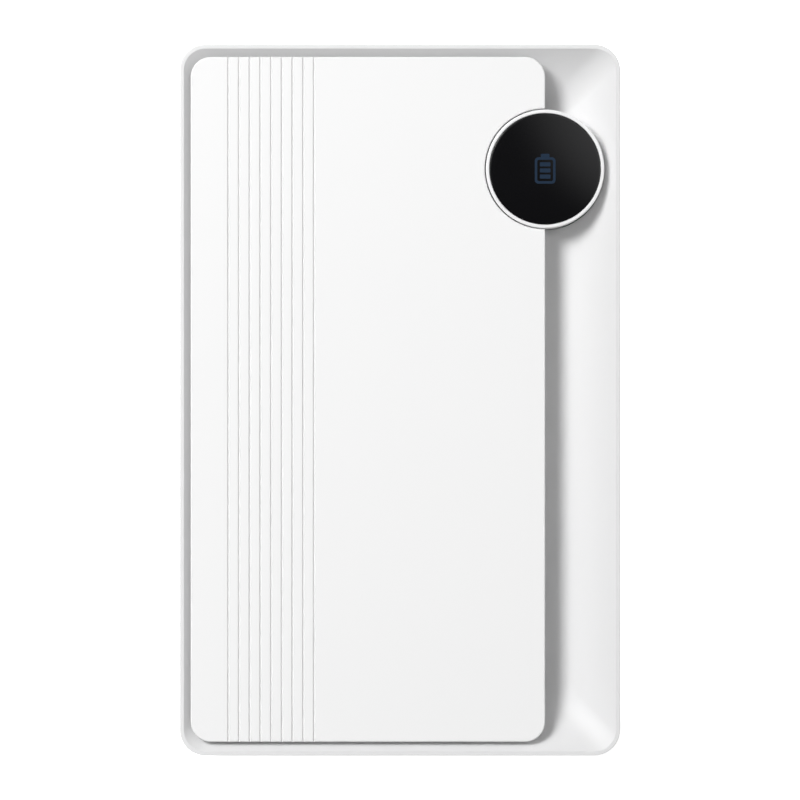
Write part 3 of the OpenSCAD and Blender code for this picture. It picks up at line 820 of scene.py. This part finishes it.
def row_of_pads(
    name: str,
    tree: NodeMesh,
    material: bpy.types.Material,
    count: int,
    size: Place,
    corner: float,
    start: Place,
    step: Place,
) -> bpy.types.Object:
    """A row of equal flat pads as one piece.

    Args:
        name: Name of the piece.
        tree: The pad-row tree.
        material: Material of the pads.
        count: How many pads.
        size: Width, length and thickness in millimetres.
        corner: Corner radius in millimetres.
        start: Middle of the first pad's underside, in millimetres.
        step: From one pad to the next, in millimetres.

    Returns:
        The finished piece.
    """
    piece = link(name, bpy.data.meshes.new(name))
    tree.run(
        piece,
        {
            "Count": count,
            "Width": size[0] * MM,
            "Length": size[1] * MM,
            "Thickness": size[2] * MM,
            "Corner": corner * MM,
            "Start": tuple(v * MM for v in start),
            "Step": tuple(v * MM for v in step),
            "Material": material,
        },
    )
    return piece


# ---------- Sub-assemblies ----------


def box_mm(node: str) -> tuple[Vector, Vector]:
    """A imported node's lowest and highest corners, in millimetres."""
    low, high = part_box(node)
    return low / MM, high / MM


@dataclass
class Case:
    """White outer case: the dished front housing and the back shell."""

    corner: float = 4.1
    wall: float = 1.6
    rim: float = 0.65
    rim_hold: float = 0.06
    bank: float = 11.3
    depth: float = 5.2
    curve: float = 2.0
    floor_corner: float = 2.6
    floor_thickness: float = 1.3
    outer_edge: float = 0.16
    parting_edge: float = 0.16
    back_edge: float = 2.5
    back_hold: float = 0.1
    lip: float = 0.8
    lip_height: float = 1.2
    lip_gap: float = 0.05
    port_flare: float = 0.3
    bank_steps: int = 30
    halvings: int = 24

    def __post_init__(self) -> None:
        """Reads the case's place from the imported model."""
        low, high = box_mm("front_housing")
        self.width = high.x - low.x
        self.length = high.y - low.y
        self.split = low.z
        self.rim_z = high.z

    def drop(self, inward: float) -> float:
        """How far the bank lies below the rim, at a distance inside the rim's inner edge."""
        rest = max(0.0, 1 - inward / self.bank)
        return self.depth * (1 - rest**self.curve)

    def corner_at(self, inward: float) -> float:
        """Corner radius of the dish's outline, which eases from the rim's to the floor's."""
        start = self.corner - self.rim
        return start + (self.floor_corner - start) * inward / self.bank

    def dish_outline(self, inward: float) -> Outline:
        """The dish's outline at a distance inside the rim's inner edge."""
        inset = 2 * (self.rim + inward)
        return round_rect(self.width - inset, self.length - inset, self.corner_at(inward))

    def inward_at(self, x: float, y: float) -> float:
        """Halves the bank's width until the outline through a point of the dish is found.

        Args:
            x: The point's place across.
            y: The point's place along.

        Returns:
            How far inside the rim's inner edge the point lies, at most the bank's width.
        """
        low, high = 0.0, self.bank
        for _ in range(self.halvings):
            middle = (low + high) / 2
            radius = self.corner_at(middle)
            out_x = abs(x) - (self.width / 2 - self.rim - middle - radius)
            out_y = abs(y) - (self.length / 2 - self.rim - middle - radius)
            outside = math.hypot(max(out_x, 0), max(out_y, 0)) + min(max(out_x, out_y), 0) - radius
            if outside < 0:
                low = middle
            else:
                high = middle
        return low

    def surface(self, x: float, y: float) -> float:
        """Height of the dish at a point."""
        return self.rim_z - self.drop(self.inward_at(x, y))

    def shell_ring(self, inset: float, z: float) -> Ring:
        """The case's outline, moved in, at a height."""
        outline = round_rect(self.width - 2 * inset, self.length - 2 * inset, self.corner - inset)
        return lying(outline, z)

    def housing(self, button: Button, sockets: list[Socket]) -> bpy.types.Object:
        """Front housing with its rim, dish, button hole and port mouths.

        Args:
            button: Gives the hole's place and size.
            sockets: Give the port mouths.

        Returns:
            The new object.
        """
        ceiling = self.rim_z - self.depth - self.floor_thickness
        rings = [
            self.shell_ring(self.wall, ceiling),
            self.shell_ring(self.wall, self.split),
            self.shell_ring(self.parting_edge, self.split),
            self.shell_ring(0, self.split + self.parting_edge),
            self.shell_ring(0, self.split + 2 * self.parting_edge),
            self.shell_ring(0, self.rim_z - HOLD * self.outer_edge),
        ]
        edge = self.outer_edge
        for rise, run in arc_steps(6):
            rings.append(self.shell_ring(edge * (1 - run), self.rim_z - edge * (1 - rise)))
        rings.append(self.shell_ring(self.rim - self.rim_hold, self.rim_z))
        for step in range(self.bank_steps + 1):
            inward = self.bank * step / self.bank_steps
            rings.append(lying(self.dish_outline(inward), self.rim_z - self.drop(inward)))
        piece = loft("front_housing_shell", rings)
        hole = rod("hole_tool", button.hole, ceiling - PAST, self.rim_z + 2 * PAST, button.centre)
        combine(piece, hole, "DIFFERENCE")
        face_y = self.length / 2
        for socket in sockets:
            combine(piece, socket.mouth_tool(face_y, self.wall, self.port_flare), "DIFFERENCE")
        return piece

    def back(self) -> bpy.types.Object:
        """Back shell with its round edge, flat face and locating lip."""
        inner = self.wall + self.lip
        lip_out = self.wall + self.lip_gap
        top = self.split + self.lip_height
        rings = [
            self.shell_ring(inner, self.wall),
            self.shell_ring(inner, top),
            self.shell_ring(lip_out, top),
            self.shell_ring(lip_out, self.split),
            self.shell_ring(self.parting_edge, self.split),
            self.shell_ring(0, self.split - self.parting_edge),
            self.shell_ring(0, self.split - 2 * self.parting_edge),
            self.shell_ring(0, self.back_edge + self.back_hold),
        ]
        for rise, run in arc_steps(12):
            rings.append(self.shell_ring(self.back_edge * (1 - run), self.back_edge * (1 - rise)))
        rings.append(self.shell_ring(self.back_edge + 2 * self.back_hold, 0))
        return loft("back_shell_cover", rings)

    def build(self, shop: Workshop, button: Button, sockets: list[Socket]) -> None:
        """Builds and dresses both halves.

        Args:
            shop: Dresses and places them.
            button: Gives the button hole.
            sockets: Give the port mouths.
        """
        shop.place(self.housing(button, sockets), CASE_ABS, Body.CASE, "case_white", ("front_housing",))
        shop.place(self.back(), CASE_ABS, Body.CASE, "case_white", ("back_shell",))


@dataclass
class CoverPanel:
    """Grooved cover panel that lies in the dish and gives way to the button."""

    corner: float = 3.2
    edge: float = 0.2
    undercut: float = 0.9
    overhang: float = 1.4
    skirt: float = 1.2
    least_skirt: float = 0.02
    face_hold: float = 0.05
    skin: float = 1.1
    seat_gap: float = 0.15
    groove_count: int = 9
    groove_pitch: float = 1.7
    groove_start: float = 6.0
    groove_width: float = 0.42
    groove_depth: float = 0.3

    def __post_init__(self) -> None:
        """Reads the panel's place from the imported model."""
        self.low, self.high = box_mm("front_panel")

    def outline(self, inset: float, button: Button) -> Outline:
        """The panel's outline moved in, anticlockwise, with the notch for the button.

        Args:
            inset: How far it is moved in.
            button: Gives the notch's place and size.

        Returns:
            The outline's points.
        """
        x0, x1 = self.low.x + inset, self.high.x - inset
        y0, y1 = self.low.y + inset, self.high.y - inset
        radius = self.corner - inset
        points: Outline = []
        corners = [(x1, y0, -90), (x1, y1, 0), (x0, y1, 90), (x0, y0, 180)]
        for index, (x, y, start) in enumerate(corners):
            mid_x = x - math.copysign(radius, x - (x0 + x1) / 2)
            mid_y = y - math.copysign(radius, y - (y0 + y1) / 2)
            for step in range(CORNER_STEPS + 1):
                angle = math.radians(start + 90 * step / CORNER_STEPS)
                points.append((mid_x + radius * math.cos(angle), mid_y + radius * math.sin(angle)))
            if index == 0:
                points += self.notch(x1, inset, button)
        return points

    def notch(self, edge_x: float, inset: float, button: Button) -> Outline:
        """The notch that keeps clear of the button.

        Args:
            edge_x: Where the panel's side lies.
            inset: How far the panel's outline is moved in.
            button: Gives the notch's place and size.

        Returns:
            Its points, from its lower end on the panel's side to its upper end.
        """
        x, y = button.centre
        radius = button.hole + inset
        half_open = math.acos((edge_x - x) / radius)
        sweep = 2 * math.pi - 2 * half_open
        steps = TURN_STEPS // 2
        angles = [-half_open - sweep * step / steps for step in range(steps + 1)]
        return [(x + radius * math.cos(a), y + radius * math.sin(a)) for a in angles]

    def cover(self, case: Case, button: Button) -> bpy.types.Object:
        """The panel before its grooves are cut, standing on the dish.

        Args:
            case: Gives the dish's surface.
            button: Gives the notch's place and size.

        Returns:
            The new object.
        """
        top = self.high.z
        under = top - self.skin
        inner = self.outline(self.overhang + self.skirt, button)
        foot = self.outline(self.overhang, button)
        highest = under - self.least_skirt
        rings = [
            lying(inner, under),
            [(x, y, min(case.surface(x, y) + self.seat_gap, highest)) for x, y in inner],
            [(x, y, case.surface(x, y) + self.seat_gap) for x, y in foot],
            lying(foot, top - self.undercut),
            lying(self.outline(0, button), top - HOLD * self.edge),
        ]
        for rise, run in arc_steps(6):
            rings.append(lying(self.outline(self.edge * (1 - run), button), top - self.edge * (1 - rise)))
        rings.append(lying(self.outline(self.edge + self.face_hold, button), top))
        return loft("front_panel_cover", rings)

    def build(self, shop: Workshop, case: Case, button: Button) -> None:
        """Builds the panel, cuts its grooves and dresses it.

        Args:
            shop: Dresses and places it.
            case: Gives the dish's surface.
            button: Gives the notch's place and size.
        """
        piece = self.cover(case, button)
        middle_y = (self.low.y + self.high.y) / 2
        groove_tree().run(
            piece,
            {
                "Count": self.groove_count,
                "Pitch": self.groove_pitch * MM,
                "Width": self.groove_width * MM,
                "Depth": self.groove_depth * MM,
                "Length": (self.high.y - self.low.y + PAST) * MM,
                "Start": ((self.low.x + self.groove_start) * MM, middle_y * MM, self.high.z * MM),
                "Material": shop.material(PANEL_ABS),
            },
        )
        shop.place(piece, PANEL_ABS, Body.CASE, "panel_white", ("front_panel",))


@dataclass
class Button:
    """Round push button: white ring, black domed lens with its charge icon, and the spring under them."""

    gap: float = 0.15
    ring_width: float = 0.59
    ledge: float = 0.95
    ring_edge: float = 0.22
    ring_lip: float = 0.1
    lens_play: float = 0.03
    lens_crown: float = 0.22
    lens_sunk: float = 0.16
    lens_edge: float = 0.1
    lens_steps: int = 40
    ear_width: float = 6.0
    ear_length: float = 3.1
    ear_thickness: float = 1.2
    ear_corner: float = 0.6
    ear_root: float = 0.3
    ear_step: float = 0.02
    post_gap_radius: float = 0.88
    post_out: float = 1.8
    icon_width: float = 3.3
    icon_length: float = 4.7
    icon_stroke: float = 0.4
    icon_corner: float = 0.6
    icon_inner_corner: float = 0.3
    icon_cap: Point = (1.4, 0.5)
    icon_cap_corner: float = 0.2
    icon_cap_root: float = 0.1
    icon_bars: int = 3
    icon_bar_corner: float = 0.12
    icon_bar_gap: float = 0.8
    icon_sunk: float = 0.03
    icon_proud: float = 0.004
    spring_wire: float = 0.2
    spring_turns: float = 4.0
    spring_flat_end: float = 0.15

    def __post_init__(self) -> None:
        """Reads the button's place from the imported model."""
        low, high = box_mm("button_ring")
        lens_low, lens_high = box_mm("button_lens")
        self.centre = ((low.x + high.x) / 2, (low.y + high.y) / 2)
        self.radius = (high.x - low.x) / 2
        self.hole = self.radius + self.gap
        self.top, self.foot = high.z, low.z
        self.lens_foot, self.lens_top = lens_low.z, lens_high.z
        self.film_foot = box_mm("icon_film")[0].z
        self.lens_radius = self.radius - self.ring_width

    def ring(self) -> bpy.types.Object:
        """White ring with its ledge and the two ears that slide on the posts."""
        inner = self.lens_radius + self.lens_play
        edge, lip = self.ring_edge, self.ring_lip
        profile = [(inner - self.ledge, self.foot), (self.radius, self.foot)]
        profile.append((self.radius, self.top - HOLD * edge))
        profile += [
            (self.radius - edge * (1 - run), self.top - edge * (1 - rise)) for rise, run in arc_steps(7)
        ]
        profile += [(inner + lip * run, self.top - lip * (1 - run)) for _, run in arc_steps(3)]
        profile += [(inner, self.top - lip), (inner, self.film_foot), (inner - self.ledge, self.film_foot)]
        piece = lathe("button_ring_body", tidy_profile(profile), self.centre)
        for side in (-1, 1):
            combine(piece, self.ear(side), "UNION")
        return piece

    def ear(self, side: int) -> bpy.types.Object:
        """One of the ring's ears, bored for its post and cut back to the ring.

        Args:
            side: 1 towards the port end, -1 away from it.

        Returns:
            The new object. Its underside stands ear_step off the ring's foot, so that the two join cleanly.
        """
        x, y = self.centre
        middle = (x, y + side * (self.radius + self.ear_length / 2 - self.ring_width))
        plan = round_rect(self.ear_width, self.ear_length + self.ring_width, self.ear_corner, middle)
        heights = (self.foot + self.ear_step, self.foot + self.ear_thickness)
        piece = loft("ear_tool", [lying(plan, z) for z in heights])
        low, high = self.foot - PAST, self.foot + 2 * PAST
        post = (x, y + side * (self.radius + self.post_out))
        combine(piece, rod("bore_tool", self.post_gap_radius, low, high, post), "DIFFERENCE")
        inside = rod("inside_tool", self.radius - self.ear_root, low, high, self.centre)
        combine(piece, inside, "DIFFERENCE")
        return piece

    def dome(self, distance: float) -> float:
        """Height of the lens's face at a distance from its middle."""
        share = distance / self.lens_radius
        return self.lens_top - self.lens_sunk + self.lens_crown * (1 - share**2)

    def lens(self) -> bpy.types.Object:
        """Black lens with a shallow crown and a small round edge."""
        rim, edge = self.lens_radius - self.lens_edge, self.lens_edge
        edge_z = self.dome(rim)
        profile = [(0, self.lens_foot), (self.lens_radius, self.lens_foot)]
        profile += [(rim + edge * run, edge_z - edge * (1 - rise)) for rise, run in arc_steps(4)[:-1]]
        radii = [rim * (1 - i / self.lens_steps) for i in range(self.lens_steps)]
        profile += [(radius, self.dome(radius)) for radius in radii]
        profile.append((0, self.dome(0)))
        return lathe("button_lens_face", profile, self.centre)

    def icon(self, shop: Workshop, pads: NodeMesh) -> None:
        """Charge icon: a battery outline with a cap and level bars, printed into the lens's face.

        Args:
            shop: Dresses and places its pieces.
            pads: The pad-row tree.
        """
        x, y = self.centre
        foot = self.dome(self.icon_length / 2) - self.icon_sunk
        proud = self.dome(0) + self.icon_proud
        cap_w, cap_l = self.icon_cap
        body_w, body_l = self.icon_width, self.icon_length - cap_l
        body_y = y - cap_l / 2
        stroke = self.icon_stroke
        outer = round_rect(body_w, body_l, self.icon_corner, (x, body_y))
        inner = round_rect(body_w - 2 * stroke, body_l - 2 * stroke, self.icon_inner_corner, (x, body_y))
        rings = [lying(outer, foot), lying(outer, proud), lying(inner, proud), lying(inner, foot)]
        outline = loft("charge_icon_frame", rings, looped=True)
        cap_middle = (x, body_y + body_l / 2 + cap_l / 2)
        cap = round_rect(cap_w, cap_l + self.icon_cap_root, self.icon_cap_corner, cap_middle)
        combine(outline, loft("cap_tool", [lying(cap, foot), lying(cap, proud)]), "UNION")
        shop.place(outline, ICON_INK, Body.BUTTON, "film_black")
        room = body_l - 4 * stroke
        gap = stroke * self.icon_bar_gap
        pitch = (room + gap) / self.icon_bars
        bar = (body_w - 4 * stroke, pitch - gap, proud - foot)
        start = (x, body_y - room / 2 + bar[1] / 2, foot)
        ink = shop.material(ICON_INK)
        bars = row_of_pads(
            "charge_icon_bars", pads, ink, self.icon_bars, bar, self.icon_bar_corner, start, (0, pitch, 0)
        )
        shop.place(bars, ICON_INK, Body.BUTTON, "film_black")

    def spring(self, shop: Workshop) -> None:
        """Return spring: a wire coil swept along a helix, with flat end turns.

        Args:
            shop: Dresses and places it.
        """
        low, high = box_mm("button_spring")
        wire = self.spring_wire
        piece = link("return_spring", bpy.data.meshes.new("return_spring"))
        coil_tree().run(
            piece,
            {
                "Turns": self.spring_turns,
                "Flat End": self.spring_flat_end,
                "Radius": ((high.x - low.x) / 2 - wire) * MM,
                "Height": (high.z - low.z - 2 * wire) * MM,
                "Wire Radius": wire * MM,
                "Foot": (self.centre[0] * MM, self.centre[1] * MM, (low.z + wire) * MM),
                "Material": shop.material(SPRING_WIRE),
            },
        )
        shop.place(piece, SPRING_WIRE, Body.CASE, "spring_steel", ("button_spring",))
        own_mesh(piece)

    def build(self, shop: Workshop, pads: NodeMesh) -> None:
        """Builds and dresses the button.

        Args:
            shop: Dresses and places its pieces.
            pads: The pad-row tree.
        """
        shop.place(self.ring(), RING_ABS, Body.BUTTON, "ring_white", ("button_ring",))
        shop.place(self.lens(), LENS_PC, Body.BUTTON, "lens_black", ("button_lens",))
        self.spring(shop)
        self.icon(shop, pads)


@dataclass(frozen=True)
class PlugForm:
    """Sizes that a kind of socket is made to, in millimetres."""

    corner: float
    base: float
    contacts: int
    pitch: float
    contact_width: float
    contact_length: float
    tongue_width: float
    tongue_thickness: float
    tongue_rise: float


class Plug(Enum):
    """Kinds of socket."""

    USB_A = PlugForm(
        corner=0.5,
        base=4.5,
        contacts=4,
        pitch=2.3,
        contact_width=1.0,
        contact_length=6.2,
        tongue_width=11.1,
        tongue_thickness=1.85,
        tongue_rise=1.1,
    )
    USB_C = PlugForm(
        corner=1.6,
        base=1.6,
        contacts=8,
        pitch=0.7,
        contact_width=0.32,
        contact_length=2.6,
        tongue_width=6.7,
        tongue_thickness=0.7,
        tongue_rise=0.0,
    )


@dataclass
class Socket:
    """One socket in the port end: stamped shell, black tongue and plated contacts."""

    shell_node: str
    tongue_node: str
    plug: Plug
    sheet: float = 0.3
    play: float = 0.05
    gap: float = 0.25
    least_corner: float = 0.1
    least_side: float = 0.01
    back_edge: float = 0.2
    nose: float = 0.25
    nose_corner: float = 0.02
    root: float = 0.5
    contact_back: float = 0.5
    contact_thickness: float = 0.08

    def __post_init__(self) -> None:
        """Reads the socket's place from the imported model."""
        self.form = self.plug.value
        self.low, self.high = box_mm(self.tongue_node)
        self.centre = ((self.low.x + self.high.x) / 2, (self.low.z + self.high.z) / 2)
        grown = 2 * (self.sheet + self.play)
        self.width = self.high.x - self.low.x + grown
        self.height = self.high.z - self.low.z + grown
        shell_low, shell_high = box_mm(self.shell_node)
        self.back_y, self.mouth_y = shell_low.y, shell_high.y
        self.corner = min(self.form.corner, self.height / 2 - self.least_side)
        self.tongue_z = self.centre[1] + self.form.tongue_rise

    def section(self, grow: float, y: float) -> Ring:
        """The shell's outline grown by a distance, at a depth."""
        radius = max(self.corner + grow, self.least_corner)
        return upright(round_rect(self.width + 2 * grow, self.height + 2 * grow, radius, self.centre), y)

    def mouth_tool(self, face_y: float, wall: float, flare: float) -> bpy.types.Object:
        """Cutter for the mouth in the case wall, flared round its outer edge.

        Args:
            face_y: Where the wall's outer face lies.
            wall: Thickness of the wall.
            flare: Radius of the flare.

        Returns:
            The new object.
        """
        rings = [self.section(self.gap, face_y - wall - PAST), self.section(self.gap, face_y - flare)]
        for rise, run in arc_steps(5)[1:]:
            rings.append(self.section(self.gap + flare * (1 - run), face_y - flare * (1 - rise)))
        rings.append(self.section(self.gap + flare, face_y + PAST))
        return loft("mouth_tool", rings)

    def shell(self) -> bpy.types.Object:
        """Stamped shell, closed at the back, with a rolled lip at the mouth."""
        half = self.sheet / 2
        lip_y = self.mouth_y - half
        rings = [self.section(-self.sheet, self.back_y + self.sheet), self.section(-self.sheet, lip_y)]
        steps = 8
        for step in range(steps + 1):
            angle = math.pi * step / steps
            rings.append(self.section(-half - half * math.cos(angle), lip_y + half * math.sin(angle)))
        rings.append(self.section(0, self.back_y + self.back_edge))
        rings.append(self.section(-self.back_edge, self.back_y))
        return loft(self.shell_node + "_stamping", rings)

    def tongue(self) -> bpy.types.Object:
        """Tongue with a round nose, on a base that fills the back of the shell."""
        base_y = self.low.y + self.form.base
        inset = -self.sheet - self.play
        base = loft(
            self.tongue_node + "_moulding", [self.section(inset, self.low.y), self.section(inset, base_y)]
        )
        width, thick = self.form.tongue_width, self.form.tongue_thickness
        middle = (self.centre[0], self.tongue_z)
        nose = min(self.nose, thick / 3)
        rings = [upright(round_rect(width, thick, nose, middle), base_y - self.root)]
        for rise, run in arc_steps(4):
            shrink = 2 * nose * (1 - run)
            corner = max(nose - shrink / 2, self.nose_corner)
            outline = round_rect(width - shrink, thick - shrink, corner, middle)
            rings.append(upright(outline, self.high.y - nose * (1 - rise)))
        combine(base, loft("nose_tool", rings), "UNION")
        return base

    def contact_rows(self, shop: Workshop, pads: NodeMesh) -> None:
        """Gold contacts along the tongue: under it on USB-A, on both faces on USB-C.

        Args:
            shop: Dresses and places them.
            pads: The pad-row tree.
        """
        form = self.form
        size = (form.contact_width, form.contact_length, self.contact_thickness)
        start_x = self.centre[0] - form.pitch * (form.contacts - 1) / 2
        start_y = self.high.y - self.contact_back - form.contact_length / 2
        sides = {"under": self.tongue_z - form.tongue_thickness / 2 - self.contact_thickness / 2}
        if self.plug is Plug.USB_C:
            sides["over"] = self.tongue_z + form.tongue_thickness / 2 - self.contact_thickness / 2
        for side, z in sides.items():
            row = row_of_pads(
                f"{self.tongue_node}_contacts_{side}",
                pads,
                shop.material(GOLD),
                form.contacts,
                size,
                form.contact_width / 4,
                (start_x, start_y, z),
                (form.pitch, 0, 0),
            )
            shop.place(row, GOLD, Body.CASE, "gold_pins")

    def build(self, shop: Workshop, pads: NodeMesh) -> None:
        """Builds and dresses the socket.

        Args:
            shop: Dresses and places its pieces.
            pads: The pad-row tree.
        """
        shop.place(self.shell(), NICKEL, Body.CASE, "socket_steel", (self.shell_node,))
        shop.place(self.tongue(), SOCKET_NYLON, Body.CASE, "socket_black", (self.tongue_node,))
        self.contact_rows(shop, pads)


# ---------- Studio ----------


@dataclass
class Studio:
    """Pale light-table floor, key light with a wide halo, even fill, and a camera straight above.

    The key stands at the upper left. Its disk draws the shadows and its halo softens their outer part.
    """

    view_mm: float = 127.11
    lens_mm: float = 200.0
    sensor_mm: float = 36.0
    sight: float = 10.0
    key_turn: float = 141.0
    key_height: float = 52.0
    key_distance: float = 1.3
    key_size: float = 0.5
    key_power: float = 14.8
    halo_size: float = 1.35
    halo_power: float = 4.4
    fill: float = 0.325
    fill_turn: float = -42.0
    fill_lean: float = 0.9
    dim_range: tuple[float, float] = (0.80, 0.985)
    dim_level: float = 0.1
    panel_way: Place = (0.30, 0.26, 0.92)
    panel_range: tuple[float, float] = (0.93, 0.985)
    panel_level: float = 2.2
    glow: float = 0.72
    floor_reach: float = 2500.0
    floor_depth: float = 20.0
    floor_roughness: float = 0.7

    def camera(self, rim_z: float) -> None:
        """Camera straight above, far enough for its long lens to frame view_mm at the rim's height.

        Args:
            rim_z: Height of the case's rim in millimetres.
        """
        data = bpy.data.cameras.new("camera")
        data.lens = self.lens_mm
        data.sensor_width = self.sensor_mm
        data.clip_end = self.sight
        rig = link("camera", data)
        distance = self.view_mm * MM * self.lens_mm / self.sensor_mm
        rig.location = (0, 0, rim_z * MM + distance)
        bpy.context.scene.camera = rig

    def floor(self) -> None:
        """White floor that glows a little from below, so that shadows on it stay faint."""
        reach = self.floor_reach
        plan = [(-reach, -reach), (reach, -reach), (reach, reach), (-reach, reach)]
        slab = loft("floor", [lying(plan, -self.floor_depth), lying(plan, 0.0)])
        made = bpy.data.materials.new("opal_light_table")
        made.use_nodes = True
        shader = made.node_tree.nodes["Principled BSDF"]
        shader.inputs["Base Color"].default_value = srgb("#E8E8E8")
        shader.inputs["Roughness"].default_value = self.floor_roughness
        shader.inputs["Emission Color"].default_value = srgb(WHITE)
        shader.inputs["Emission Strength"].default_value = self.glow
        slab.data.materials.append(made)

    def key(self, name: str, size: float, power: float) -> None:
        """Adds one round light at the upper left.

        Args:
            name: The light's name.
            size: Its diameter in metres.
            power: Its power in watts.
        """
        turn, height = math.radians(self.key_turn), math.radians(self.key_height)
        level = math.cos(height)
        aim = Vector((level * math.cos(turn), level * math.sin(turn), math.sin(height)))
        data = bpy.data.lights.new(name, "AREA")
        data.shape = "DISK"
        data.size = size
        data.energy = power
        lamp = link(name, data)
        lamp.location = aim * self.key_distance
        lamp.rotation_euler = aim.to_track_quat("Z", "Y").to_euler()

    def sky(self) -> None:
        """Even fill, dim straight above, with one soft panel up on the right and a lean to one side."""
        world = bpy.data.worlds.new("studio")
        bpy.context.scene.world = world
        world.use_nodes = True
        tree = world.node_tree
        tree.nodes.clear()
        way = add_node(tree, "ShaderNodeTexCoord").outputs["Generated"]
        height = add_node(tree, "ShaderNodeSeparateXYZ", links={0: way}).outputs["Z"]
        aim = tuple(Vector(self.panel_way).normalized())
        toward = add_node(
            tree, "ShaderNodeVectorMath", {"operation": "DOT_PRODUCT", 1: aim}, {0: way}
        ).outputs["Value"]
        parts = []
        for source, (start, end), first, last in (
            (height, self.dim_range, 1.0, self.dim_level),
            (toward, self.panel_range, 0.0, self.panel_level),
        ):
            eased = {"interpolation_type": "SMOOTHSTEP", "From Min": start, "From Max": end}
            levels = {"To Min": first, "To Max": last}
            ramp = add_node(tree, "ShaderNodeMapRange", {**eased, **levels}, {"Value": source})
            parts.append(ramp.outputs["Result"])
        both = add_node(tree, "ShaderNodeMath", {"operation": "ADD"}, {0: parts[0], 1: parts[1]})
        turn = math.radians(self.fill_turn)
        side_way = (math.cos(turn), math.sin(turn), 0.0)
        side = add_node(tree, "ShaderNodeVectorMath", {"operation": "DOT_PRODUCT", 1: side_way}, {0: way})
        lean = add_node(
            tree,
            "ShaderNodeMath",
            {"operation": "MULTIPLY_ADD", 1: self.fill_lean, 2: 1.0},
            {0: side.outputs["Value"]},
        )
        leaning = add_node(
            tree, "ShaderNodeMath", {"operation": "MULTIPLY"}, {0: both.outputs[0], 1: lean.outputs[0]}
        )
        strength = add_node(
            tree, "ShaderNodeMath", {"operation": "MULTIPLY", 1: self.fill}, {0: leaning.outputs[0]}
        ).outputs[0]
        back = add_node(tree, "ShaderNodeBackground", {"Color": srgb(WHITE)}, {"Strength": strength})
        add_node(tree, "ShaderNodeOutputWorld", links={"Surface": back.outputs[0]})

    def build(self, rim_z: float) -> None:
        """Sets up the whole studio.

        Args:
            rim_z: Height of the case's rim in millimetres.
        """
        bpy.context.scene.view_settings.view_transform = "Standard"
        self.camera(rim_z)
        self.floor()
        self.key("key", self.key_size, self.key_power)
        self.key("key_halo", self.halo_size, self.halo_power)
        self.sky()


def main() -> None:
    """Builds the studio and every sub-assembly in order."""
    logging.basicConfig(level=logging.INFO, format="%(name)s %(message)s")
    shop = Workshop()
    pads = pad_row_tree()
    case = Case()
    button = Button()
    sockets = [
        Socket("usb_a_shell_left", "usb_a_tongue_left", Plug.USB_A),
        Socket("usb_a_shell_right", "usb_a_tongue_right", Plug.USB_A),
        Socket("usb_c_shell", "usb_c_tongue", Plug.USB_C),
    ]
    Studio().build(case.rim_z)
    case.build(shop, button, sockets)
    CoverPanel().build(shop, case, button)
    button.build(shop, pads)
    for socket in sockets:
        socket.build(shop, pads)
    shop.dress_carried()


if __name__ == "__main__":
    main()
